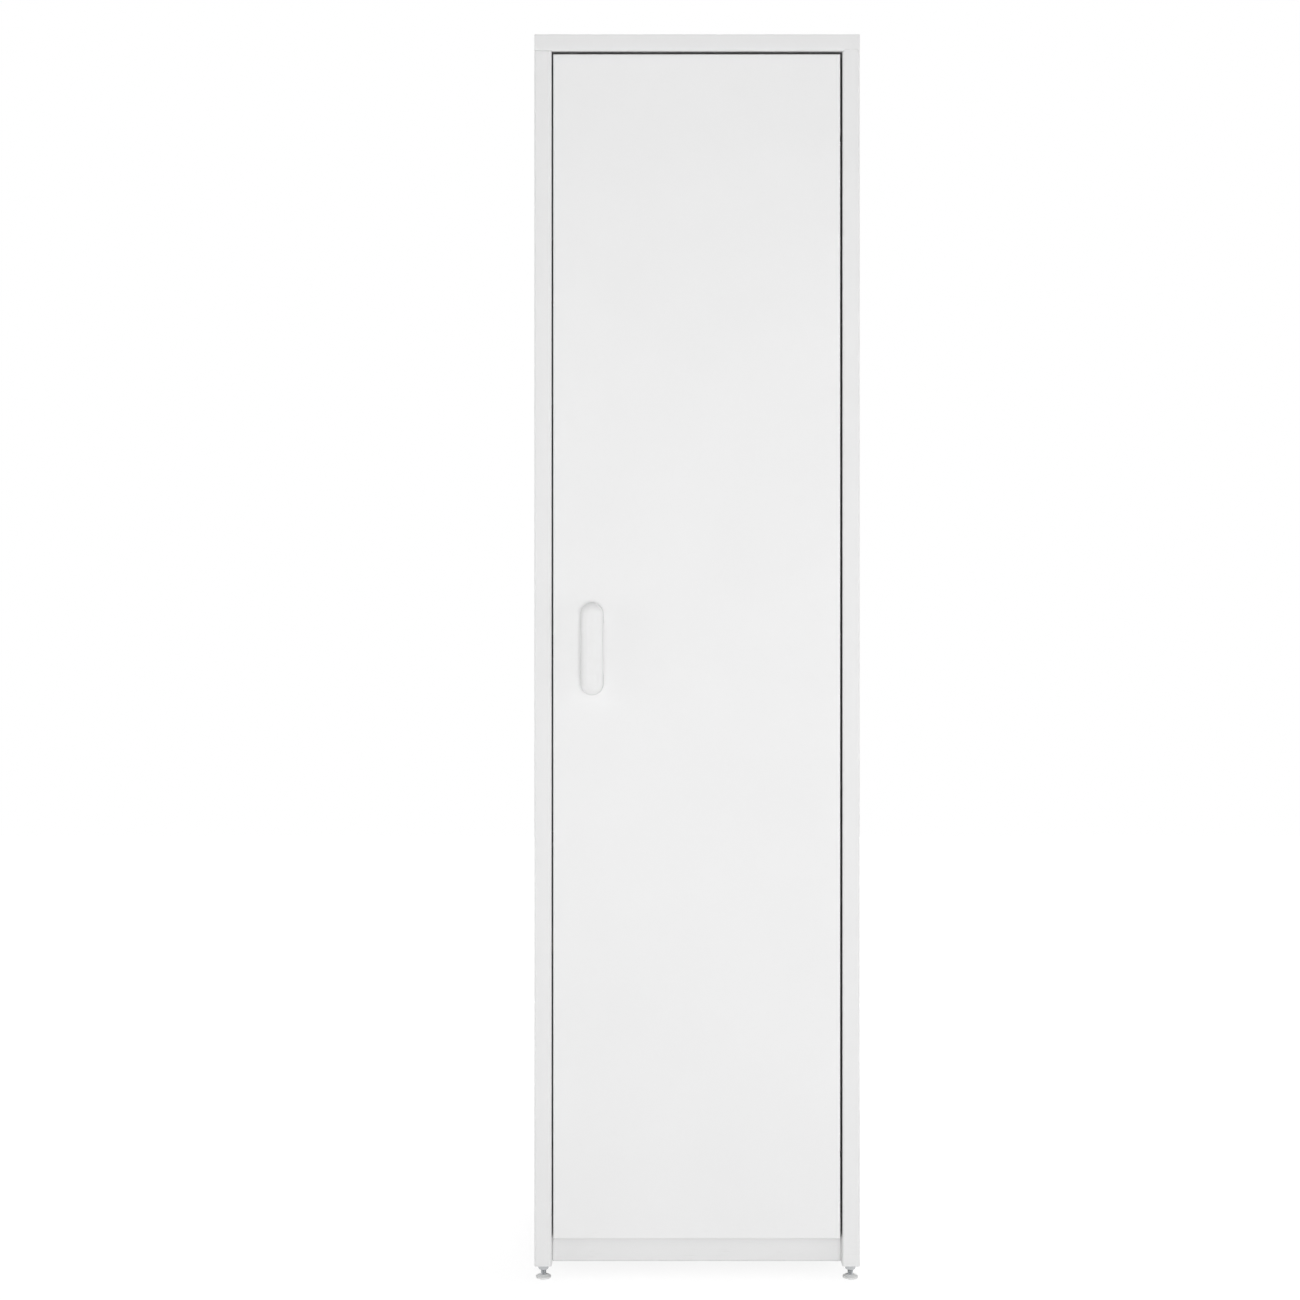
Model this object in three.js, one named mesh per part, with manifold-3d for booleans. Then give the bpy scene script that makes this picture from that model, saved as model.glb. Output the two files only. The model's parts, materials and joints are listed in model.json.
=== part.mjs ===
// Tall steel cupboard with one door: square-tube frame, folded sheet panels and levelling feet.
// Millimetres, +Z up, front towards -Y. The origin is the middle of the footprint, on the floor.

import * as THREE from 'three';
import { mergeVertices } from 'three/addons/utils/BufferGeometryUtils.js';
import Module from 'manifold-3d';

const wasm = await Module();
wasm.setup();

// Overall size, over the posts and without the handle
const cabinetWidth = 470;
const cabinetDepth = 400;
const cabinetHeight = 1800;

// Square tube of the frame
const tubeSide = 25;
const tubeWall = 1.5;
const tubeCornerRadius = 3;
const ventDiameter = 10;

// Clearances
const seatGap = 0.3;
const slackGap = 1;
const cutOverrun = 2;

// Base
const postLift = 19.5;
const plinthHeight = 70.5;
const plinthSetback = 22;
const plinthFlange = 18;
const plinthSheet = 1.5;

// Folded panels and trays
const panelSheet = 0.8;
const panelRecess = 2;
const sideFlange = 4.5;
const backFlange = 12;
const trayThickness = 15;

// Slots in the posts, and the shelf supports that hook into them
const slotPitch = 48;
const slotMarginBelow = 78.5;
const slotMarginAbove = 70;
const slotWidth = 3;
const slotHeight = 12;
const slotOffset = 3.5;
const supportSheet = 1.5;
const supportHeight = 20;
const supportLedge = 20;
const hookHeight = 8;
const hookDrop = 2.5;
const hookThickness = 1.5;

// Heights of the shelves as shares of the row of slots, each then put in its nearest slot
const shelfHeightShares = [0.29, 0.484, 0.71, 0.871];

// Door
const doorThickness = 18;
const doorSheet = 0.8;
const doorEdgeRadius = 3;
const latchSideGap = 2;
const hingeSideGap = 3;
const doorTopGap = 4;
const plinthCover = 31;
const stiffenerWidth = 60;
const stiffenerFlange = 14;
const stiffenerMargin = 60;

// Concealed hinges
const hingeEdgeInset = 9;
const hingeFaceInset = 8;
const hingeEndInset = 123;
const hingePlateHeight = 50;
const hingePlateWidth = 11;
const hingePlateSheet = 2.5;
const tongueThickness = 4;
const tongueWidth = 6;
const tongueEyeDiameter = 9;
const tongueRearDepth = 6.5;
const tongueSlotHeight = 8;
const hingeBlockWidth = 21;
const hingePinDiameter = 4;
const hingePinSeat = 8;
const pinHoleClearance = 0.3;

// Handle
const handleWidth = 33;
const handleLength = 133;
const handleReach = 27;
const handleShoulder = 8;
const handleShoulderDepth = 12;
const handleGripThickness = 11;
const handleScrewSpacing = 96;
const handleEdgeInset = 56.5;
const handleHeight = 911.5;
const fingerGapLength = 72;
const fingerGapRadius = 9;

// Screws
const handleScrewDiameter = 4;
const handleScrewHeadDiameter = 8;
const handleScrewHeadHeight = 2.4;
const handleScrewBite = 10;
const catchScrewDiameter = 3.5;
const catchScrewHeadDiameter = 6.5;
const catchScrewHeadHeight = 1.8;
const catchScrewBite = 5;

// Magnetic catch
const catchHeight = 484.5;
const catchLength = 30;
const catchWidth = 18;
const catchDepth = 18;
const catchWingWidth = 11;
const catchWingThickness = 3;
const catchScrewSpacing = 20;
const magnetLength = 22;
const magnetWidth = 11;
const magnetDepth = 6;
const strikeLength = 28;
const strikeWidth = 14;
const strikeThickness = 1.2;

// Rubber buffers on the plinth
const bufferDiameter = 10;
const bufferStemDiameter = 5;
const bufferTailDiameter = 7;
const bufferTailLength = 3;
const bufferBelowPlinthTop = 15;
const bufferEdgeInset = 45;

// Levelling feet
const footPadDiameter = 22;
const footPadRim = 2.6;
const footPadHeight = 5.6;
const footPadEdgeRadius = 1;
const footPadCrown = 0.5;
const footNeckDiameter = 9;
const footThreadDiameter = 8;
const footThreadChamfer = 0.8;
const footThreadLength = 52;
const nutAcrossFlats = 13;
const nutHeight = 6.5;
const nutChamferRise = 0.9;
const footPlateThickness = 3;
const footHoleClearance = 0.3;

// Steps in the round stretches
const cornerSteps = 3;
const smallRoundSteps = 16;
const footRoundSteps = 24;
const shoulderSteps = 5;
const hexagonSides = 6;

// Places that follow from the sizes above
const frontY = (handleReach + seatGap - cabinetDepth) / 2;
const rearY = frontY + cabinetDepth;
const postX = (cabinetWidth - tubeSide) / 2;
const openingHalf = cabinetWidth / 2 - tubeSide;
const railBottom = cabinetHeight - tubeSide;
const baseTop = postLift + plinthHeight;
const floorTop = baseTop + seatGap + trayThickness;
const frontPostRear = frontY + tubeSide;
const rearPostFront = rearY - tubeSide;
const panelFace = cabinetWidth / 2 - panelRecess;

const slotRowStart = floorTop + slotMarginBelow;
const slotCount = Math.floor((railBottom - slotMarginAbove - slotRowStart) / slotPitch) + 1;
const slotX = postX + slotOffset;
const supportTopAboveSlot = seatGap + (hookHeight + supportHeight) / 2;
const trayHalfWidth = slotX - supportSheet / 2 - slackGap;
const shelfSlots = shelfHeightShares.map((share) => Math.round(share * (slotCount - 1)));

const doorBottom = baseTop - plinthCover;
const doorHeight = railBottom - doorTopGap - doorBottom;
const doorWidth = 2 * openingHalf - latchSideGap - hingeSideGap;
const hingeX = openingHalf - hingeSideGap - hingeEdgeInset;
const hingeY = frontY + hingeFaceInset;

// Door sizes counted from the hinge axis
const doorRight = hingeEdgeInset;
const doorLeft = doorRight - doorWidth;
const doorFront = -hingeFaceInset;
const doorBack = doorFront + doorThickness;
const handleX = doorLeft + handleEdgeInset;
const handleScrewHeights = [-1, 1].map((end) => handleHeight - doorBottom + (end * handleScrewSpacing) / 2);
const hingeHeights = [hingeEndInset, doorHeight - hingeEndInset];
const tongueRoomLeft = -tongueEyeDiameter / 2 - slackGap;

const catchX = -openingHalf + seatGap + catchWidth / 2;
const catchFront = frontY + doorThickness + 2 * seatGap + strikeThickness;
const catchScrewX = openingHalf + catchWingWidth / 2;
const catchScrewHeights = [-1, 1].map((end) => catchHeight + (end * catchScrewSpacing) / 2);
const bufferHeight = baseTop - bufferBelowPlinthTop;
const bufferX = openingHalf - bufferEdgeInset;

const finishes = {
  coatedSteel: { color: '#e9e9e7', roughness: 0.45, metalness: 0 },
  zincSteel: { color: '#b7babd', roughness: 0.35, metalness: 0.9 },
  chrome: { color: '#d3d6d9', roughness: 0.12, metalness: 1 },
  whitePlastic: { color: '#f0f0ee', roughness: 0.25, metalness: 0 },
  catchPlastic: { color: '#dcdcd8', roughness: 0.5, metalness: 0 },
  magnet: { color: '#4a4b4d', roughness: 0.6, metalness: 0.3 },
  rubber: { color: '#8d8f90', roughness: 0.8, metalness: 0 },
};

const unitX = new THREE.Vector3(1, 0, 0);
const unitY = new THREE.Vector3(0, 1, 0);
const unitZ = new THREE.Vector3(0, 0, 1);

// Frames that turn an outline's plane and its run: (y, z) along X, (x, z) along Y, (x, y) along Z
const sectionFrames = {
  x: new THREE.Matrix4().makeBasis(unitY, unitZ, unitX),
  y: new THREE.Matrix4().makeBasis(unitX, unitZ, unitY.clone().negate()),
  z: new THREE.Matrix4(),
};

// Turns a closed geometry into a solid that can be joined and cut
function toSolid(geometry) {
  const bare = geometry.clone();
  bare.deleteAttribute('normal');
  bare.deleteAttribute('uv');
  const merged = mergeVertices(bare);
  const corners = merged.index.array;
  const triangles = [];
  for (let i = 0; i < corners.length; i += 3) {
    const [a, b, c] = corners.slice(i, i + 3);
    if (a !== b && b !== c && c !== a) {
      triangles.push(a, b, c);
    }
  }
  return new wasm.Manifold(new wasm.Mesh({
    numProp: 3,
    vertProperties: new Float32Array(merged.attributes.position.array),
    triVerts: new Uint32Array(triangles),
  }));
}

function toGeometry(solid) {
  const mesh = solid.getMesh();
  const geometry = new THREE.BufferGeometry();
  geometry.setAttribute('position', new THREE.BufferAttribute(mesh.vertProperties, mesh.numProp));
  geometry.setIndex(new THREE.BufferAttribute(mesh.triVerts, 1));
  geometry.computeVertexNormals();
  return geometry;
}

function box(x0, x1, y0, y1, z0, z1) {
  const geometry = new THREE.BoxGeometry(x1 - x0, y1 - y0, z1 - z0);
  geometry.translate((x0 + x1) / 2, (y0 + y1) / 2, (z0 + z1) / 2);
  return toSolid(geometry);
}

// Runs a closed outline from one place to another along an axis
function prism(outline, axis, from, to) {
  const geometry = new THREE.ExtrudeGeometry(new THREE.Shape(outline), {
    depth: to - from,
    bevelEnabled: false,
  });
  geometry.applyMatrix4(sectionFrames[axis]);
  const start = { x: [from, 0, 0], y: [0, to, 0], z: [0, 0, from] }[axis];
  geometry.translate(...start);
  return toSolid(geometry);
}

function points(...pairs) {
  return pairs.map(([a, b]) => new THREE.Vector2(a, b));
}

function arcPoints(centreA, centreB, radiusA, radiusB, startAngle, endAngle, steps) {
  return Array.from({ length: steps + 1 }, (_, step) => {
    const angle = startAngle + ((endAngle - startAngle) * step) / steps;
    return new THREE.Vector2(centreA + radiusA * Math.cos(angle), centreB + radiusB * Math.sin(angle));
  });
}

// Rectangle with round corners, counter-clockwise
function roundedRectangle(a0, a1, b0, b1, radius) {
  const quarter = Math.PI / 2;
  const centres = [[a1 - radius, b1 - radius], [a0 + radius, b1 - radius],
    [a0 + radius, b0 + radius], [a1 - radius, b0 + radius]];
  return centres.flatMap(([a, b], i) =>
    arcPoints(a, b, radius, radius, i * quarter, (i + 1) * quarter, cornerSteps));
}

// Rectangle whose two corners at low b are round, as the front edges of a folded pan
function softFrontRectangle(a0, a1, b0, b1, radius) {
  const quarter = Math.PI / 2;
  return [
    ...points([a1, b1], [a0, b1]),
    ...arcPoints(a0 + radius, b0 + radius, radius, radius, 2 * quarter, 3 * quarter, cornerSteps),
    ...arcPoints(a1 - radius, b0 + radius, radius, radius, 3 * quarter, 4 * quarter, cornerSteps),
  ];
}

// Cylinder along an axis, with its middle line through the point (a, b) of the outline's plane
function cylinder(axis, a, b, diameter, from, to, steps = smallRoundSteps) {
  const outline = arcPoints(a, b, diameter / 2, diameter / 2, 0, 2 * Math.PI, steps).slice(0, steps);
  return prism(outline, axis, from, to);
}

function makePiece(name, solid, finish) {
  const piece = new THREE.Mesh(toGeometry(solid), new THREE.MeshStandardMaterial(finishes[finish]));
  piece.name = name;
  return piece;
}

// Folded pan: a box hollowed from one side, so that a sheet and its four flanges are left
function pan(outer, inner) {
  return box(...outer).subtract(box(...inner));
}

// Stretch of X between two distances from the middle plane, on the left (-1) or the right (1)
function sideSpan(side, near, far) {
  return side > 0 ? [near, far] : [-far, -near];
}

// Square tube about its own middle line, less its hollow, which may stop short of its ends
function squareTube(axis, b, from, to, hollowFrom, hollowTo) {
  const half = tubeSide / 2;
  const inside = half - tubeWall;
  const bar = prism(roundedRectangle(-half, half, b - half, b + half, tubeCornerRadius), axis, from, to);
  const hollow = points([inside, b + inside], [-inside, b + inside],
    [-inside, b - inside], [inside, b - inside]);
  return bar.subtract(prism(hollow, axis, hollowFrom, hollowTo));
}

// Height of the lower edge of a slot, where a hook comes to rest
function slotSeat(index) {
  return slotRowStart + index * slotPitch;
}

// Post about its own middle line. Its slots face the other post of the same side: rearward on a front
// post (facing 1) and forward on a rear post (facing -1), and they lie off the middle towards outward.
function postSolid(facing, outward) {
  const top = railBottom - seatGap;
  let post = squareTube('z', 0, postLift, top, postLift + footPlateThickness, top + cutOverrun);
  const slotFrom = tubeSide / 2 - tubeWall - cutOverrun;
  const slotTo = tubeSide / 2 + cutOverrun;
  const [y0, y1] = sideSpan(facing, slotFrom, slotTo);
  const [x0, x1] = sideSpan(outward, slotOffset - slotWidth / 2, slotOffset + slotWidth / 2);
  for (let index = 0; index < slotCount; index += 1) {
    const low = slotSeat(index);
    post = post.subtract(box(x0, x1, y0, y1, low, low + slotHeight));
  }
  const footHole = cylinder('z', 0, 0, footThreadDiameter + 2 * footHoleClearance,
    postLift - cutOverrun, postLift + footPlateThickness + cutOverrun);
  return post.subtract(footHole);
}

// Cuts the two screw holes of the catch in the rear wall of a front post
function drillForCatch(post) {
  return catchScrewHeights.reduce((drilled, height) => drilled.subtract(cylinder(
    'y', postX - catchScrewX, height, catchScrewDiameter + 2 * seatGap,
    tubeSide / 2 - tubeWall - cutOverrun, tubeSide / 2 + cutOverrun)), post);
}

function makeFrame() {
  const frame = new THREE.Group();
  const frontMiddle = frontY + tubeSide / 2;
  const rearMiddle = rearY - tubeSide / 2;
  const posts = [
    ['post_front_left', -1, drillForCatch(postSolid(1, -1)), frontMiddle],
    ['post_front_right', 1, postSolid(1, 1), frontMiddle],
    ['post_rear_left', -1, postSolid(-1, -1), rearMiddle],
    ['post_rear_right', 1, postSolid(-1, 1), rearMiddle],
  ];
  for (const [name, side, solid, y] of posts) {
    const post = makePiece(name, solid, 'coatedSteel');
    post.position.set(side * postX, y, 0);
    frame.add(post);
  }

  // The front and rear rails lie over the posts, with their ends closed and vented into the posts
  const railMiddle = cabinetHeight - tubeSide / 2;
  const halfWidth = cabinetWidth / 2;
  for (const [name, y] of [['top_rail_front', frontMiddle], ['top_rail_rear', rearMiddle]]) {
    let rail = squareTube('x', railMiddle, -halfWidth, halfWidth, tubeWall - halfWidth, halfWidth - tubeWall);
    for (const side of [-1, 1]) {
      rail = rail.subtract(cylinder('z', side * postX, 0, ventDiameter,
        railBottom - cutOverrun, railBottom + tubeWall + cutOverrun));
    }
    const piece = makePiece(name, rail, 'coatedSteel');
    piece.position.y = y;
    frame.add(piece);
  }
  const sideFrom = frontPostRear + seatGap;
  const sideTo = rearPostFront - seatGap;
  for (const [name, side] of [['top_rail_left', -1], ['top_rail_right', 1]]) {
    const rail = squareTube('y', railMiddle, sideFrom, sideTo, sideFrom - cutOverrun, sideTo + cutOverrun);
    const piece = makePiece(name, rail, 'coatedSteel');
    piece.position.x = side * postX;
    frame.add(piece);
  }
  return frame;
}

// Channel outline with its web at low a and both flanges towards high a
function channelOutline(a0, a1, b0, b1, sheet) {
  return points([a0, b0], [a1, b0], [a1, b0 + sheet], [a0 + sheet, b0 + sheet],
    [a0 + sheet, b1 - sheet], [a1, b1 - sheet], [a1, b1], [a0, b1]);
}

// The base closes the foot of the cupboard: a plinth in front and a skirt on the other sides
function makeBase() {
  const base = new THREE.Group();
  const span = openingHalf - seatGap;
  const plinthFace = frontY + plinthSetback;
  let plinth = prism(
    channelOutline(plinthFace, plinthFace + plinthFlange, postLift, baseTop, plinthSheet), 'x', -span, span);
  for (const side of [-1, 1]) {
    plinth = plinth.subtract(cylinder('y', side * bufferX, bufferHeight,
      bufferStemDiameter + 2 * seatGap, plinthFace - cutOverrun, plinthFace + plinthSheet + cutOverrun));
  }
  base.add(makePiece('plinth_front', plinth, 'coatedSteel'));

  const skirtRear = rearY - panelRecess;
  const rearSkirt = prism(
    channelOutline(-skirtRear, plinthFlange - skirtRear, postLift, baseTop, plinthSheet)
      .map((corner) => new THREE.Vector2(-corner.x, corner.y)), 'x', -span, span);
  base.add(makePiece('skirt_rear', rearSkirt, 'coatedSteel'));

  const skirtFlangeEnd = openingHalf + seatGap;
  for (const [name, side] of [['skirt_left', -1], ['skirt_right', 1]]) {
    const outline = channelOutline(-panelFace, -skirtFlangeEnd, postLift, baseTop, plinthSheet)
      .map((corner) => new THREE.Vector2(-side * corner.x, corner.y));
    const skirt = prism(outline, 'y', frontPostRear + seatGap, rearPostFront - seatGap);
    base.add(makePiece(name, skirt, 'coatedSteel'));
  }
  return base;
}

function makePanels() {
  const panels = new THREE.Group();
  const low = baseTop + seatGap;
  const high = railBottom - seatGap;
  const sideFront = frontPostRear + seatGap;
  const sideRear = rearPostFront - seatGap;
  for (const [name, side] of [['side_panel_left', -1], ['side_panel_right', 1]]) {
    const flangeEnd = panelFace - sideFlange;
    panels.add(makePiece(name, pan(
      [...sideSpan(side, flangeEnd, panelFace), sideFront, sideRear, low, high],
      [...sideSpan(side, flangeEnd - cutOverrun, panelFace - panelSheet),
        sideFront + panelSheet, sideRear - panelSheet, low + panelSheet, high - panelSheet],
    ), 'coatedSteel'));
  }

  const backFace = rearY - panelRecess;
  const span = openingHalf - seatGap;
  panels.add(makePiece('back_panel', pan(
    [-span, span, backFace - backFlange, backFace, low, high],
    [-span + panelSheet, span - panelSheet, backFace - backFlange - cutOverrun, backFace - panelSheet,
      low + panelSheet, high - panelSheet],
  ), 'coatedSteel'));

  const topFace = cabinetHeight - panelRecess;
  panels.add(makePiece('top_panel', pan(
    [-span, span, sideFront, sideRear, topFace - backFlange, topFace],
    [-span + panelSheet, span - panelSheet, sideFront + panelSheet, sideRear - panelSheet,
      topFace - backFlange - cutOverrun, topFace - panelSheet],
  ), 'coatedSteel'));

  const floorPanel = makePiece('floor_panel', traySolid(), 'coatedSteel');
  floorPanel.position.z = floorTop - trayThickness;
  panels.add(floorPanel);
  return panels;
}

// Outline of a tray seen from above: narrow between the posts in front and behind, and wider between
// them at the sides; drawn in by inset for the hollow under its sheet
function trayOutline(inset) {
  const narrow = openingHalf - slackGap - inset;
  const wide = trayHalfWidth - inset;
  const front = frontY + plinthSetback + inset;
  const back = rearY - panelRecess - backFlange - slackGap - inset;
  const wideFront = frontPostRear + 2 * slackGap + inset;
  const wideBack = rearPostFront - 2 * slackGap - inset;
  const half = [[narrow, front], [narrow, wideFront], [wide, wideFront],
    [wide, wideBack], [narrow, wideBack], [narrow, back]];
  return points(...half, ...half.map(([x, y]) => [-x, y]).reverse());
}

// Shelf or floor: a sheet with a flange all round, open underneath, from its own lower edge upwards
function traySolid() {
  const whole = prism(trayOutline(0), 'z', 0, trayThickness);
  return whole.subtract(prism(trayOutline(panelSheet), 'z', -cutOverrun, trayThickness - panelSheet));
}

// Angle between a front and a rear post: an upright leg that ends in a hook in a slot of each post, and
// a ledge towards the middle of the cupboard. Heights are counted from the seat of the slots.
function supportSolid(side) {
  const seat = seatGap;
  const top = supportTopAboveSlot;
  const bottom = top - supportHeight;
  const legEnd = (rearPostFront - frontPostRear) / 2 - seatGap;
  const behindWall = legEnd + seatGap + tubeWall + seatGap;
  const hookEnd = behindWall + hookThickness;
  const rearHalf = [[legEnd, bottom], [legEnd, seat], [behindWall, seat], [behindWall, seat - hookDrop],
    [hookEnd, seat - hookDrop], [hookEnd, seat + hookHeight], [legEnd, seat + hookHeight], [legEnd, top]];
  const outline = points(...rearHalf, ...rearHalf.map(([y, z]) => [-y, z]).reverse());
  const leg = prism(outline, 'x', ...sideSpan(side, slotX - supportSheet / 2, slotX + supportSheet / 2));
  const ledge = box(...sideSpan(side, slotX - supportLedge, slotX),
    -legEnd, legEnd, top - supportSheet, top);
  return leg.add(ledge);
}

function makeShelves() {
  const shelves = new THREE.Group();
  const supports = [['left', supportSolid(-1)], ['right', supportSolid(1)]];
  const tray = traySolid();
  shelfSlots.forEach((slot, index) => {
    const name = `shelf_${index + 1}`;
    const shelf = makePiece(name, tray, 'coatedSteel');
    shelf.position.z = slotSeat(slot) + supportTopAboveSlot + seatGap;
    shelves.add(shelf);
    for (const [sideName, solid] of supports) {
      const support = makePiece(`${name}_support_${sideName}`, solid, 'zincSteel');
      support.position.set(0, (frontPostRear + rearPostFront) / 2, slotSeat(slot));
      shelves.add(support);
    }
  });
  return shelves;
}

// Box with its four front edges round, seen from above and from the side. Front is low y.
function softFrontBox(x0, x1, y0, y1, z0, z1, radius) {
  const fromAbove = prism(softFrontRectangle(x0, x1, y0, y1, radius), 'z', z0, z1);
  const sideOutline = softFrontRectangle(z0, z1, y0, y1, radius)
    .map((corner) => new THREE.Vector2(corner.y, corner.x));
  return fromAbove.intersect(prism(sideOutline, 'x', x0, x1));
}

// Room that the hinge tongue sweeps through the door's back and its right edge
function tongueRoom(hingeHeight) {
  const half = tongueSlotHeight / 2;
  return box(tongueRoomLeft, doorRight + cutOverrun, doorFront + doorSheet + seatGap, doorBack + cutOverrun,
    hingeHeight - half, hingeHeight + half);
}

// Folded skin, open at the back, with its hinge notches and handle screw holes
function doorSkinSolid() {
  const outer = softFrontBox(doorLeft, doorRight, doorFront, doorBack, 0, doorHeight, doorEdgeRadius);
  const hollow = softFrontBox(doorLeft + doorSheet, doorRight - doorSheet, doorFront + doorSheet,
    doorBack + cutOverrun, doorSheet, doorHeight - doorSheet, doorEdgeRadius - doorSheet);
  let skin = outer.subtract(hollow);
  for (const height of hingeHeights) {
    skin = skin.subtract(tongueRoom(height));
  }
  return skin.subtract(handleScrewRoom(doorFront - cutOverrun, doorFront + doorSheet + cutOverrun));
}

// Clearance holes for the two handle screws, between two depths
function handleScrewRoom(from, to) {
  return handleScrewHeights
    .map((height) => cylinder('y', handleX, height, handleScrewDiameter + 2 * seatGap, from, to))
    .reduce((lower, upper) => lower.add(upper));
}

function innerPanelSolid() {
  const rim = doorSheet + seatGap;
  let panel = box(doorLeft + rim, doorRight - rim, doorBack - doorSheet, doorBack, rim, doorHeight - rim);
  for (const height of hingeHeights) {
    panel = panel.subtract(tongueRoom(height));
  }
  return panel.subtract(handleScrewRoom(doorBack - doorSheet - cutOverrun, doorBack + cutOverrun));
}

// Hat section between the two sheets of the door, with its web against the skin
function stiffenerSolid() {
  const middle = (doorLeft + doorRight) / 2;
  const half = stiffenerWidth / 2;
  const front = doorFront + doorSheet + seatGap;
  const back = doorBack - doorSheet - seatGap;
  const rightHalf = [[half, front], [half, back - doorSheet], [half + stiffenerFlange, back - doorSheet],
    [half + stiffenerFlange, back], [half - doorSheet, back], [half - doorSheet, front + doorSheet]];
  const outline = points(...rightHalf, ...rightHalf.map(([x, y]) => [-x, y]).reverse())
    .map((corner) => new THREE.Vector2(corner.x + middle, corner.y));
  return prism(outline, 'z', stiffenerMargin, doorHeight - stiffenerMargin);
}

// Bow handle about the middle of its seat: a long dome with round shoulders, over a finger gap
function handleSolid() {
  const radius = handleWidth / 2;
  const quarter = Math.PI / 2;
  const shoulder = arcPoints(radius - handleShoulder, handleShoulderDepth - handleReach,
    handleShoulder, handleShoulderDepth, -quarter, 0, shoulderSteps);
  const profile = [new THREE.Vector2(0, -handleReach), ...shoulder, ...points([radius, 0], [0, 0])];
  const endMiddle = handleLength / 2 - radius;
  const rightSide = profile.slice(1, -1);
  const section = [...rightSide, ...rightSide.map((p) => new THREE.Vector2(-p.x, p.y)).reverse()];
  let dome = prism(section, 'z', -endMiddle, endMiddle);
  for (const end of [-1, 1]) {
    const turned = new THREE.LatheGeometry(profile, smallRoundSteps * 2);
    turned.translate(0, 0, end * endMiddle);
    dome = dome.add(toSolid(turned));
  }
  const gapDepth = handleReach - handleGripThickness;
  const half = fingerGapLength / 2;
  const fingerGap = prism(
    roundedRectangle(-gapDepth, fingerGapRadius + cutOverrun, -half, half, fingerGapRadius), 'x',
    -radius - cutOverrun, radius + cutOverrun);
  const holes = [-1, 1].map((end) => cylinder('y', 0, (end * handleScrewSpacing) / 2,
    handleScrewDiameter + 2 * seatGap, -handleScrewBite - seatGap, cutOverrun));
  return dome.subtract(fingerGap).subtract(holes[0]).subtract(holes[1]);
}

// Pan-head screw along Y, about its own axis: its shank runs forward from its head at y = 0
function screwSolid(diameter, length, headDiameter, headHeight) {
  const shank = cylinder('y', 0, 0, diameter, -length, headHeight / 2);
  return shank.add(cylinder('y', 0, 0, headDiameter, 0, headHeight));
}

function makeDoor() {
  const door = new THREE.Group();
  door.position.set(hingeX, hingeY, doorBottom);
  door.add(makePiece('door_skin', doorSkinSolid(), 'coatedSteel'));
  door.add(makePiece('door_inner_panel', innerPanelSolid(), 'coatedSteel'));
  door.add(makePiece('door_stiffener', stiffenerSolid(), 'zincSteel'));

  const handle = makePiece('handle', handleSolid(), 'whitePlastic');
  handle.position.set(handleX, doorFront - seatGap, handleHeight - doorBottom);
  door.add(handle);
  const screwLength = doorThickness + 2 * seatGap + handleScrewBite;
  const screw = screwSolid(handleScrewDiameter, screwLength - seatGap,
    handleScrewHeadDiameter, handleScrewHeadHeight);
  ['handle_screw_lower', 'handle_screw_upper'].forEach((name, index) => {
    const piece = makePiece(name, screw, 'zincSteel');
    piece.position.set(handleX, doorBack + seatGap, handleScrewHeights[index]);
    door.add(piece);
  });

  const strike = makePiece('catch_strike', box(-strikeWidth / 2, strikeWidth / 2,
    0, strikeThickness, -strikeLength / 2, strikeLength / 2), 'zincSteel');
  strike.position.set(catchX - hingeX, doorBack + seatGap, catchHeight - doorBottom);
  door.add(strike);

  ['lower', 'upper'].forEach((name, index) => {
    const hinge = new THREE.Group();
    hinge.position.z = hingeHeights[index];
    hinge.add(makePiece(`hinge_${name}_block`, hingeBlockSolid(), 'zincSteel'));
    hinge.add(makePiece(`hinge_${name}_pin`, hingePinSolid(), 'zincSteel'));
    door.add(hinge);
  });
  return door;
}

// Block in the door, about the hinge axis: two lugs over and under the tongue, joined at their left
function hingeBlockSolid() {
  const right = doorRight - doorSheet - seatGap;
  const front = doorFront + doorSheet + seatGap;
  const back = doorBack - doorSheet - seatGap;
  const half = hingePlateHeight / 2;
  const outline = softFrontRectangle(right - hingeBlockWidth, right, front, back,
    doorEdgeRadius - doorSheet - seatGap);
  const block = prism(outline, 'z', -half, half);
  const pinHole = cylinder('z', 0, 0, hingePinDiameter + 2 * pinHoleClearance,
    hingePinSeat - half, half + cutOverrun);
  return block.subtract(tongueRoom(0)).subtract(pinHole);
}

function hingePinSolid() {
  const half = hingePlateHeight / 2;
  return cylinder('z', 0, 0, hingePinDiameter, hingePinSeat + seatGap - half, half);
}

// Bracket on the right front post, about the hinge axis: a plate behind the post, and a tongue that
// runs round the post's corner and forward into the door to the pin
function hingeBracketSolid() {
  const plateFront = frontPostRear + seatGap - hingeY;
  const plateLeft = openingHalf - hingeX + slackGap;
  const plateRight = plateLeft + hingePlateWidth;
  const half = tongueWidth / 2;
  const tongueRear = plateFront + tongueRearDepth;
  const plate = box(plateLeft, plateRight, plateFront, plateFront + hingePlateSheet,
    -hingePlateHeight / 2, hingePlateHeight / 2);
  const rise = tongueThickness / 2;
  const arm = prism(points([-half, 0], [half, 0], [half, plateFront], [plateRight, plateFront],
    [plateRight, tongueRear], [-half, tongueRear]), 'z', -rise, rise);
  const eye = cylinder('z', 0, 0, tongueEyeDiameter, -rise, rise);
  const pinHole = cylinder('z', 0, 0, hingePinDiameter + 2 * pinHoleClearance,
    -rise - cutOverrun, rise + cutOverrun);
  return plate.add(arm).add(eye).subtract(pinHole);
}

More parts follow.
